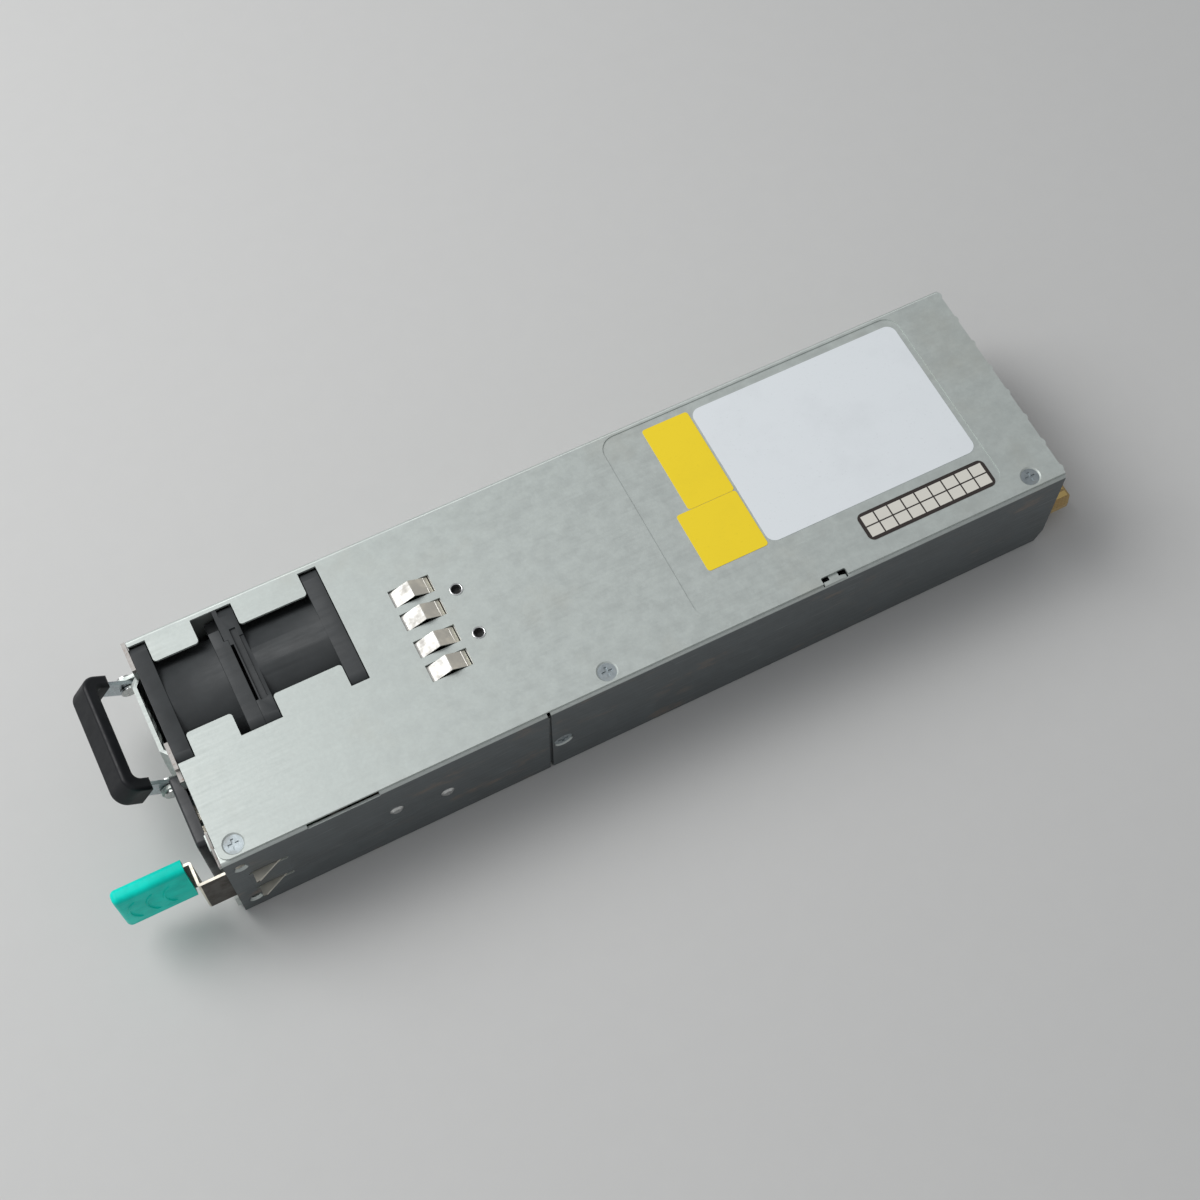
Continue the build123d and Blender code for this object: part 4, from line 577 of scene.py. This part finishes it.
class SUPPLY_OT_casing(Operator):
    """Zinc finish for the cover, the two base channels and the rear panel, and rolled edges for the cover and
    the two base channels
    """
    bl_idname = "supply.casing"
    bl_label = "Casing"

    def execute(self, context):
        look = context.scene.supply_casing
        cover = zinc_sheet("zinc_cover", look.cover_colour, look.wear, 0.5)
        # The base channels and the rear panel get painted shade on their upright faces.
        wall = zinc_sheet("zinc_base", look.cover_colour, look.wear, 0.46, upright_shade=look.wall_shade_colour)
        dress(["top_cover"], cover)
        dress(["base_front", "base_rear", "rear_panel"], wall)
        dimple_x = COVER_FRONT + WALL_HOLE_FROM_FRONT
        dimple_end = NEAR_FACE + WALL_DIMPLE_DEPTH
        dimples = [dish("Y", (dimple_x, z), WALL_DIMPLE_RADII, NEAR_FACE - 0.05, dimple_end)
                   for z in WALL_HOLE_HEIGHTS]
        front = carved("base_front_dimpled", "base_front", "casing", wall, cuts=dimples)
        for piece in (NODES["top_cover"], front, NODES["base_rear"]):
            soften(piece, look.edge_roll)
        new_piece("cover_catch", self.catch(), cover)
        return {"FINISHED"}

    def catch(self):
        """The bent catch in the cover's notch, with a ramp at its rear."""
        start = COVER_FRONT + CATCH_FROM_FRONT
        ramp = start + CATCH_FLAT
        end = ramp + CATCH_RAMP
        foot = COVER_TOP - CATCH_FOOT_BELOW_TOP
        top = COVER_TOP - CATCH_BELOW_TOP
        ramp_end = COVER_TOP - CATCH_RAMP_BELOW_TOP
        outline = [(start, foot), (start, top), (ramp, top), (end, ramp_end), (end, foot)]
        near = NEAR_FACE + CATCH_IN
        return prism("Y", outline, near, near + CATCH_WIDTH)


class SUPPLY_OT_front_panel(Operator):
    """Zinc finish for the front panel and its drawn grille, going a darker taupe towards its top cut edge,
    with rust specks there
    """
    bl_idname = "supply.front_panel"
    bl_label = "Front panel"

    def execute(self, context):
        look = context.scene.supply_casing
        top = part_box("front_panel")[1].z
        zinc = zinc_sheet("zinc_panel", look.cover_colour, look.wear, 0.46, top)
        panel = carved("front_panel_open", "front_panel", "casing", zinc, cuts=self.cuts())
        soften(panel, look.edge_roll)
        return {"FINISHED"}

    def cuts(self):
        """The opening over the inlet, the taller latch window, the cut corner and the thin edge by them."""
        ahead = PANEL_FRONT - 0.7
        behind = PANEL_BACK + 0.05
        outside = NEAR_FACE - 0.75
        above = COVER_TOP + 0.5
        inlet_near = INLET_Y - INLET_BODY_HALF
        opening = mm_box(ahead, PANEL_BACK + 1.7, inlet_near, INLET_OPEN_END, INLET_BODY_TOP - 0.25, above)
        window = mm_box(ahead, behind, outside, NEAR_FACE + WINDOW_DEPTH,
                        WINDOW_RAISED_FROM, COVER_TOP - WINDOW_BELOW_TOP)
        cut_in = NEAR_FACE + CORNER_CUT[0]
        cut_up = CORNER_CUT[1]
        below = -1.0
        outline = [(outside, below), (cut_in, below), (cut_in, 0.0), (NEAR_FACE, cut_up), (outside, cut_up)]
        corner = prism("X", outline, ahead, behind)
        thinner = mm_box(ahead, PANEL_FRONT + PANEL_THINNED_BY, outside, inlet_near + 0.05,
                         COVER_TOP - PANEL_THINNED_BELOW_TOP, above)
        return opening, window, corner, thinner


class SUPPLY_OT_fixings(Operator):
    """Screws, rivets and pins"""
    bl_idname = "supply.fixings"
    bl_label = "Fixings"

    def execute(self, context):
        blue_zinc = drawn_steel("screw_steel", (0.42, 0.47, 0.49), 0.48, (900.0, 900.0, 900.0), amount=0.3)
        dress(["cover_screws", "side_screw", "board_screws"], blue_zinc)
        dress(["latch_rivets", "handle_pins"],
              drawn_steel("rivet_steel", (0.62, 0.63, 0.62), 0.28, (900.0, 900.0, 900.0), amount=0.35))
        soften(NODES["latch_rivets"], 0.06)
        return {"FINISHED"}


class SUPPLY_OT_leaves(Operator):
    """The grounding leaves under the cover and their eyelets"""
    bl_idname = "supply.leaves"
    bl_label = "Grounding leaves"

    def execute(self, context):
        # The leaves' rear-facing faces get painted light.
        steel = drawn_steel("leaf_steel", (0.60, 0.59, 0.56), 0.5, (60.0, 1500.0, 60.0), amount=0.15,
                            rear_painted_light=(0.92, 0.87, 0.76))
        all_round = (700.0, 700.0, 700.0)
        dress(["ground_spring_rivets"], drawn_steel("eyelet_steel", (0.55, 0.56, 0.56), 0.3, all_round))
        leaves = new_piece("grounding_leaves", self.leaves, steel, smooth=8.0)
        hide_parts("ground_spring")
        # Dark discs of painted shade at the bottom of the eyelets.
        painted_shade = drawn_steel("eyelet_painted_shade", (0.05, 0.05, 0.05), 0.5, all_round)
        new_piece("eyelet_shade_discs", self.shade_discs, painted_shade)
        bright = drawn_steel("eyelet_rim_steel", (0.85, 0.86, 0.86), 0.25, all_round)
        new_piece("eyelet_rims", self.rims, bright, smooth=80.0)
        return {"FINISHED"}

    def leaves(self, bm):
        """Four leaves with a sharp ridge and a crease, and strips of the plate they come from."""
        plate_low, plate_high = corners("ground_spring")
        start = COVER_FRONT + LEAF_FROM_FRONT
        ridge = start + LEAF_RIDGE_AT
        end = start + LEAF_LENGTH
        low = ROOF - LEAF_SHEET
        high = plate_high[2]
        crease = end - LEAF_CREASE_BEFORE_END
        fall = (high - ROOF) / (end - ridge)
        crease_z = high - (crease - ridge) * fall
        root = start + LEAF_ROOT
        outline = [(start, low), (root, low), (ridge, high - LEAF_SHEET), (end, low), (end, ROOF),
                   (crease + 0.2, crease_z - 0.2 * fall - 0.02), (crease + 0.1, crease_z - 0.1 * fall - 0.1),
                   (crease, crease_z), (ridge + 0.1, high), (ridge - 0.1, high), (root, ROOF), (start, ROOF)]
        mm_box(plate_low[0], start, plate_low[1], plate_high[1], low, ROOF)(bm)
        strip_start, strip_end = (end + distance for distance in LEAF_REAR_STRIP)
        mm_box(strip_start, strip_end, plate_low[1], plate_high[1], low, ROOF)(bm)
        for y, width in LEAF_PLACES:
            prism("Y", outline, y - width / 2, y + width / 2)(bm)

    def shade_discs(self, bm):
        """A dark disc of painted shade at the bottom of each eyelet."""
        bottom = corners("ground_spring_rivets")[0][2]
        for y in EYELETS_Y:
            dish("Z", (COVER_FRONT + EYELET_FROM_FRONT, y), (EYELET_SHADE_DISC_RADIUS, EYELET_SHADE_DISC_RADIUS),
                 bottom + EYELET_SHADE_DISC_HEIGHTS[0], bottom + EYELET_SHADE_DISC_HEIGHTS[1])(bm)

    def rims(self, bm):
        for y in EYELETS_Y:
            self.rim(bm, Vector((COVER_FRONT + EYELET_FROM_FRONT, y, COVER_TOP)), EYELET_RIM, EYELET_ROLL)

    def rim(self, bm, centre, radius, roll, around=36, across=8):
        """A rolled rim round an eyelet, in millimetres."""
        loops = []
        for i in range(around):
            turn = 2 * math.pi * i / around
            out = Vector((math.cos(turn), math.sin(turn), 0.0))
            loops.append([bm.verts.new((centre + out * (radius + roll * math.cos(2 * math.pi * k / across))
                                        + Vector((0.0, 0.0, roll * math.sin(2 * math.pi * k / across)))) * MM)
                          for k in range(across)])
        for i in range(around):
            for k in range(across):
                first, second = loops[i], loops[(i + 1) % around]
                bm.faces.new((first[k], first[(k + 1) % across], second[(k + 1) % across], second[k]))


# Labels

def label_sheet(node, material):
    """A sticker's finish, with its cut edge rolled down."""
    dress([node], material)
    soften(NODES[node], 0.03, 2)


class SUPPLY_OT_labels(Operator):
    """The bare rating label, two plain yellow labels and the inspection label with its empty grid"""
    bl_idname = "supply.labels"
    bl_label = "Labels"

    def execute(self, context):
        look = context.scene.supply_labels
        film = sticker_film("white_film", look.film_colour)
        yellow = sticker_film("yellow_film", look.yellow)
        border = sticker_film("inspection_ink", (0.030, 0.022, 0.019), 0.42)
        label_sheet("rating_label", film)
        label_sheet("upper_yellow_label", yellow)
        label_sheet("lower_yellow_label", yellow)
        label_sheet("inspection_label", border)
        low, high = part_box("inspection_label")
        margin = 1.1 * MM
        line = 0.45 * MM
        top = high.z
        proud = look.ink_proud * MM
        length = high.x - low.x - 2 * margin
        depth = high.y - low.y - 2 * margin
        cell_x = (length - (look.cells - 1) * line) / look.cells
        cell_y = (depth - line) / 2

        def build(bm):
            for row in range(2):
                for column in range(look.cells):
                    x = low.x + margin + column * (cell_x + line)
                    y = low.y + margin + row * (cell_y + line)
                    box_into(bm, (x, y, top - proud), (x + cell_x, y + cell_y, top + proud))

        paper = sticker_film("inspection_paper", (0.74, 0.72, 0.65), 0.55)
        new_piece("inspection_cells", build, paper)
        return {"FINISHED"}


# Fans

class SUPPLY_OT_fans(Operator):
    """The two fan frames in line, their rotors and what stands inside their hubs"""
    bl_idname = "supply.fans"
    bl_label = "Fans"

    def execute(self, context):
        look = context.scene.supply_plastics
        plastic = moulded("fan_plastic", look.fan, 0.55, dust=0.05, Specular_IOR_Level=0.35)
        rotor = moulded("rotor_plastic", darker(look.fan, 0.6), 0.38, dust=0.25)
        steel = drawn_steel("shaft_steel", (0.66, 0.66, 0.65), 0.2)
        iron = drawn_steel("stator_iron", (0.30, 0.29, 0.28), 0.45, (900.0, 60.0, 60.0), amount=0.4)
        dress(["front_fan_rotor", "rear_fan_rotor"], rotor)
        dress(["front_fan_shaft", "rear_fan_shaft", "front_fan_bearings", "rear_fan_bearings"], steel)
        dress(["front_fan_stator", "rear_fan_stator"], iron)
        dress(["front_fan_circuit", "rear_fan_circuit"], laminate("fan_laminate"))
        key, notch, gap, step = self.joint_forms()
        front = carved("front_fan_housing", "front_fan_frame", "casing", plastic, cuts=(notch,))
        rear = carved("rear_fan_housing", "rear_fan_frame", "casing", plastic, cuts=(gap, step), joins=(key,))
        for piece in (front, rear):
            soften(piece, 0.15)
        return {"FINISHED"}

    def joint_forms(self):
        """Where the two frames meet: a locating block, its notch, an open gap and a small step."""
        low, high = corners("front_fan_frame")
        joint, far, top = high
        middle_y = (low[1] + far) / 2
        middle_z = (low[2] + top) / 2
        arc = [(middle_y + FAN_BARREL * math.cos(math.radians(turn)),
                middle_z + FAN_BARREL * math.sin(math.radians(turn))) for turn in FAN_KEY_ARC]
        foot, near = arc[0][1], arc[-1][0]
        over = 1.1
        key = prism("X", [(far, foot)] + arc + [(near, top), (far, top)], joint - FAN_KEY_REACH, joint + 0.2)
        above, outside = top + over, far + over
        around = [(outside, foot - FAN_KEY_CLEARANCE)] + arc + [(near, above), (outside, above)]
        notch = prism("X", around, joint - FAN_KEY_REACH - FAN_KEY_CLEARANCE, joint + 0.5)
        gap = mm_box(joint - 0.5, joint + FAN_GAP_WIDTH, *FAN_GAP_SIDES, top - FAN_GAP_DEPTH, above)
        step_start = joint + FAN_STEP_START
        step = mm_box(step_start, step_start + FAN_STEP_WIDTH, FAN_GAP_SIDES[0], FAN_STEP_FAR,
                      top - FAN_STEP_DEPTH, above)
        return key, notch, gap, step


# Mains inlet and lamp

class SUPPLY_OT_inlet(Operator):
    """The mains inlet, its pins and leads, and the status lamp"""
    bl_idname = "supply.inlet"
    bl_label = "Mains inlet"

    def execute(self, context):
        plastic = moulded("inlet_plastic", (0.026, 0.028, 0.031), 0.42, dust=0.1)
        inlet_near = INLET_Y - INLET_BODY_HALF
        lip_back = PANEL_FRONT + INLET_LIP
        lip = mm_box(PANEL_FRONT - 0.3, lip_back, inlet_near, INLET_OPEN_END,
                     INLET_BODY_TOP - 1.05, INLET_FLANGE_TOP)
        groove = mm_box(lip_back, PANEL_BACK + 0.05, inlet_near - 0.95, INLET_OPEN_END + 1.0,
                        INLET_BODY_TOP - INLET_GROOVE_DEPTH, INLET_FLANGE_TOP + 0.6)
        inlet = carved("inlet_moulding", "ac_inlet_body", "casing", plastic, cuts=(groove,), joins=(lip,))
        soften(inlet, 0.2)
        dress(["ac_inlet_pins"], drawn_steel("pin_nickel", (0.72, 0.68, 0.58), 0.24, amount=0.25))
        dress(["mains_leads"], moulded("lead_black", (0.018, 0.018, 0.02), 0.45, 900.0, dust=0.1))
        dress(["earth_lead"], moulded("lead_green", (0.03, 0.24, 0.05), 0.42, 900.0, dust=0.1))
        lens = moulded("lamp_lens", (0.10, 0.13, 0.11), 0.25, 400.0, 0.004, 0.05,
                       Transmission_Weight=0.35, IOR=1.5)
        disc = dish("X", LAMP_PLACE, (LAMP_RADIUS, LAMP_RADIUS), PANEL_FRONT - LAMP_PROUD, PANEL_BACK - 0.1)
        lamp = new_piece("status_lamp", disc, lens)
        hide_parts("status_led")
        return {"FINISHED"}


# Handle

class SUPPLY_OT_handle(Operator):
    """The folding handle: plated strap and moulded grip"""
    bl_idname = "supply.handle"
    bl_label = "Carry handle"

    def execute(self, context):
        look = context.scene.supply_plastics
        dress(["handle_strap"], drawn_steel("strap_steel", (0.52, 0.57, 0.60), 0.26, (900.0, 900.0, 60.0)))
        dress(["handle_grip"], moulded("grip_plastic", look.grip, 0.45, 1800.0, 0.02, 0.06,
                                        Specular_IOR_Level=0.28))
        soften(NODES["handle_strap"], 0.15)
        return {"FINISHED"}


# Latch

class SUPPLY_OT_latch(Operator):
    """The release latch: spring strip, its riveted root and the moulded tab"""
    bl_idname = "supply.latch"
    bl_label = "Release latch"

    def execute(self, context):
        look = context.scene.supply_plastics
        # The spring strip's side faces get painted shade.
        dress(["latch_strip", "latch_strip_root"],
              drawn_steel("spring_steel", (0.86, 0.82, 0.72), 0.5, (60.0, 1200.0, 1200.0), amount=0.15,
                          flank_shade=(0.10, 0.09, 0.08)))
        soften(NODES["latch_strip"], 0.1)
        teal = moulded("teal_plastic", look.teal, 0.42, 1500.0, 0.006, 0.03, (0.0, 0.78, 0.66),
                       Specular_IOR_Level=0.14)
        tab = new_piece("release_tab_moulding", self.tab, teal, "latch")
        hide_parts("release_tab")
        return {"FINISHED"}

    def tab(self, bm):
        """Finger tab with rounded edges all round but at its rear, and three long ridges."""
        low, high = corners("release_tab")
        rear = high[0]
        back = high[1] + TAB_BEHIND_CAD
        face = back - TAB_THICKNESS
        bottom = low[2] - TAB_LOWERED
        top = high[2] - TAB_LOWERED
        mm_box(low[0], rear, face, back, bottom, top)(bm)
        round_over = [edge for edge in bm.edges
                      if min(vert.co.x for vert in edge.verts) < (rear - 0.5) * MM]
        bmesh.ops.bevel(bm, geom=round_over, offset=TAB_ROUND * MM, segments=5, profile=0.5, affect="EDGES")
        for index in range(TAB_RIDGES):
            crest = rear - TAB_RIDGE_FIRST - TAB_RIDGE_PITCH * index
            self.ridge(bm, crest + TAB_RIDGE_RADIUS, (bottom + top) / 2, face)

    def ridge(self, bm, x, z, face):
        """A low ridge along an arc, with sloping flanks and ends that run out."""
        rings = []
        steps = 20
        reach = math.asin(TAB_RIDGE_HALF / TAB_RIDGE_RADIUS)
        inner = TAB_RIDGE_RADIUS - 1.0
        for i in range(steps + 1):
            lean = (i / steps - 0.5) * 2
            angle = math.pi + lean * reach
            height = TAB_RIDGE_HEIGHT * min(1.0, (1.0 - abs(lean)) * 6) + 0.01
            section = ((inner, -0.2), (inner + 0.3, height), (inner + 0.7, height), (inner + 1.0, -0.2))
            ring = []
            for radius, lift in section:
                place = Vector((x + radius * math.cos(angle), face - lift, z + radius * math.sin(angle)))
                ring.append(bm.verts.new(place * MM))
            rings.append(ring)
        for first, second in zip(rings, rings[1:]):
            for k in range(4):
                bm.faces.new((first[k], first[(k + 1) % 4], second[(k + 1) % 4], second[k]))
        bm.faces.new(rings[0])
        bm.faces.new(reversed(rings[-1]))


# Boards and circuit pieces

class SUPPLY_OT_boards(Operator):
    """The boards, the card edge and the circuit pieces inside"""
    bl_idname = "supply.boards"
    bl_label = "Boards"

    def execute(self, context):
        dress(["main_board", "control_board"], laminate("board_laminate"))
        lengthwise = (60.0, 900.0, 900.0)
        dress(["card_edge_contacts"], drawn_steel("gold_contact", (0.83, 0.60, 0.24), 0.2, lengthwise))
        dress(["insulator_sheet"], moulded("insulator_film", (0.10, 0.10, 0.11), 0.3, 600.0, 0.01))
        dress(["fuse"], moulded("fuse_body", (0.66, 0.62, 0.55), 0.35, 900.0, 0.005))
        dress(["emi_chokes", "pfc_choke"],
              wound_wire("choke_winding", (0.44, 0.19, 0.06), (0.10, 0.03, 0.01), 260.0))
        dress(["x_capacitors"], moulded("capacitor_yellow", (0.62, 0.42, 0.03), 0.4, 900.0))
        dress(["inrush_relay"], moulded("relay_case", (0.04, 0.10, 0.22), 0.4, 1500.0))
        dress(["bridge_rectifier", "primary_transistors", "secondary_transistors"],
              moulded("package_black", (0.017, 0.017, 0.018), 0.5, 2600.0))
        dress(["bulk_capacitors"], moulded("capacitor_sleeve", (0.02, 0.035, 0.09), 0.24, 500.0, 0.01))
        sink = drawn_steel("sink_aluminium", (0.70, 0.71, 0.72), 0.38, (60.0, 1200.0, 60.0), amount=0.05)
        dress(["primary_heatsink", "secondary_heatsink"], sink)
        dress(["transformer_core", "resonant_choke"],
              moulded("ferrite", (0.055, 0.055, 0.057), 0.6, 1500.0, 0.03))
        dress(["transformer_winding", "standby_transformer"],
              wound_wire("winding_tape", (0.62, 0.43, 0.05), (0.48, 0.32, 0.03), 60.0, "Z", 0.4))
        dress(["output_capacitors"],
              drawn_steel("can_aluminium", (0.68, 0.69, 0.71), 0.3, (900.0, 900.0, 60.0)))
        dress(["output_busbars"], drawn_steel("busbar_copper", (0.82, 0.42, 0.24), 0.3, amount=0.4))
        return {"FINISHED"}


# Stage

class SUPPLY_OT_stage(Operator):
    """Pale floor, soft studio light and the camera"""
    bl_idname = "supply.stage"
    bl_label = "Stage"

    def execute(self, context):
        look = context.scene.supply_stage
        self.floor(look)
        self.lights(context.scene, look)
        self.camera(context.scene, look)
        context.scene.view_settings.view_transform = "Standard"
        return {"FINISHED"}

    def floor(self, look):
        """A plain floor just under the lowest point."""
        material, tree, shader = principled("floor", 0.85)
        place = place_of(tree)
        specks = cloud(tree, place, 120.0, 4.0)
        tone = blend_colours(tree, specks, darker(look.floor_colour, 0.985), darker(look.floor_colour, 1.015))
        tree.links.new(tone, shader["Base Color"])
        mesh = bpy.data.meshes.new("floor")
        bm = bmesh.new()
        bmesh.ops.create_grid(bm, x_segments=1, y_segments=1, size=3.0)
        bm.to_mesh(mesh)
        bm.free()
        mesh.materials.append(material)
        floor = bpy.data.objects.new("floor", mesh)
        floor.location.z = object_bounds()[0].z - 0.02 * MM
        bpy.context.scene.collection.objects.link(floor)
        floor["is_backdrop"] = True

    def lights(self, scene, look):
        """A soft lamp from the far front, a weak fill from the near side and an even surround."""
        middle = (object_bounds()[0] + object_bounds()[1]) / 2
        lamps = (("key", (-0.56, 0.46, 0.83), 0.75, look.key_power),
                 ("fill", (-0.5, -0.9, 0.8), 0.7, look.fill_power))
        for name, offset, size, power in lamps:
            light = bpy.data.lights.new(name, "AREA")
            light.shape = "SQUARE"
            light.size = size
            light.energy = power
            lamp = bpy.data.objects.new(name, light)
            lamp.location = middle + Vector(offset)
            lamp.rotation_euler = (-Vector(offset)).to_track_quat("-Z", "Y").to_euler()
            scene.collection.objects.link(lamp)
        world = bpy.data.worlds.new("studio")
        world.use_nodes = True
        surround = world.node_tree.nodes["Background"]
        surround.inputs["Color"].default_value = (0.95, 0.97, 1.0, 1.0)
        surround.inputs["Strength"].default_value = look.sky
        scene.world = world

    def camera(self, scene, look):
        """The camera at the photograph's place."""
        eye = Vector(CAMERA_EYE) * MM
        right = Vector(CAMERA_RIGHT)
        down = Vector(CAMERA_DOWN)
        data = bpy.data.cameras.new("camera")
        data.lens = look.lens
        data.sensor_width = 36.0
        data.clip_start = 0.02
        data.clip_end = 20.0
        camera = bpy.data.objects.new("camera", data)
        back = right.cross(-down)
        axes = Matrix((right, -down, back)).transposed()
        camera.matrix_world = Matrix.Translation(eye) @ axes.to_4x4()
        scene.collection.objects.link(camera)
        scene.camera = camera


class SUPPLY_PT_builder(Panel):
    """Lists the supply's pieces in the order in which they are made"""
    bl_label = "Power supply"
    bl_idname = "SUPPLY_PT_builder"
    bl_space_type = "VIEW_3D"
    bl_region_type = "UI"
    bl_category = "Supply"

    def draw(self, context):
        for settings in ("supply_casing", "supply_labels", "supply_plastics", "supply_stage"):
            group = getattr(context.scene, settings)
            box = self.layout.box()
            for name in group.__annotations__:
                box.prop(group, name)
        for operator in OPERATORS:
            self.layout.operator(operator.bl_idname)


SETTINGS = {
    "supply_casing": SUPPLY_PG_casing,
    "supply_labels": SUPPLY_PG_labels,
    "supply_plastics": SUPPLY_PG_plastics,
    "supply_stage": SUPPLY_PG_stage,
}
OPERATORS = (
    SUPPLY_OT_casing, SUPPLY_OT_front_panel, SUPPLY_OT_fixings, SUPPLY_OT_leaves, SUPPLY_OT_labels,
    SUPPLY_OT_fans, SUPPLY_OT_inlet, SUPPLY_OT_handle, SUPPLY_OT_latch, SUPPLY_OT_boards, SUPPLY_OT_stage,
)


def register():
    for cls in (*SETTINGS.values(), *OPERATORS, SUPPLY_PT_builder):
        bpy.utils.register_class(cls)
    for name, group in SETTINGS.items():
        setattr(bpy.types.Scene, name, PointerProperty(type=group))


def unregister():
    for name in SETTINGS:
        delattr(bpy.types.Scene, name)
    for cls in (SUPPLY_PT_builder, *reversed(OPERATORS), *SETTINGS.values()):
        bpy.utils.unregister_class(cls)


def main():
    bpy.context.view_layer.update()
    register()
    bpy.ops.supply.casing()
    bpy.ops.supply.front_panel()
    bpy.ops.supply.fixings()
    bpy.ops.supply.leaves()
    bpy.ops.supply.labels()
    bpy.ops.supply.fans()
    bpy.ops.supply.inlet()
    bpy.ops.supply.handle()
    bpy.ops.supply.latch()
    bpy.ops.supply.boards()
    bpy.ops.supply.stage()


if __name__ == "__main__":
    main()
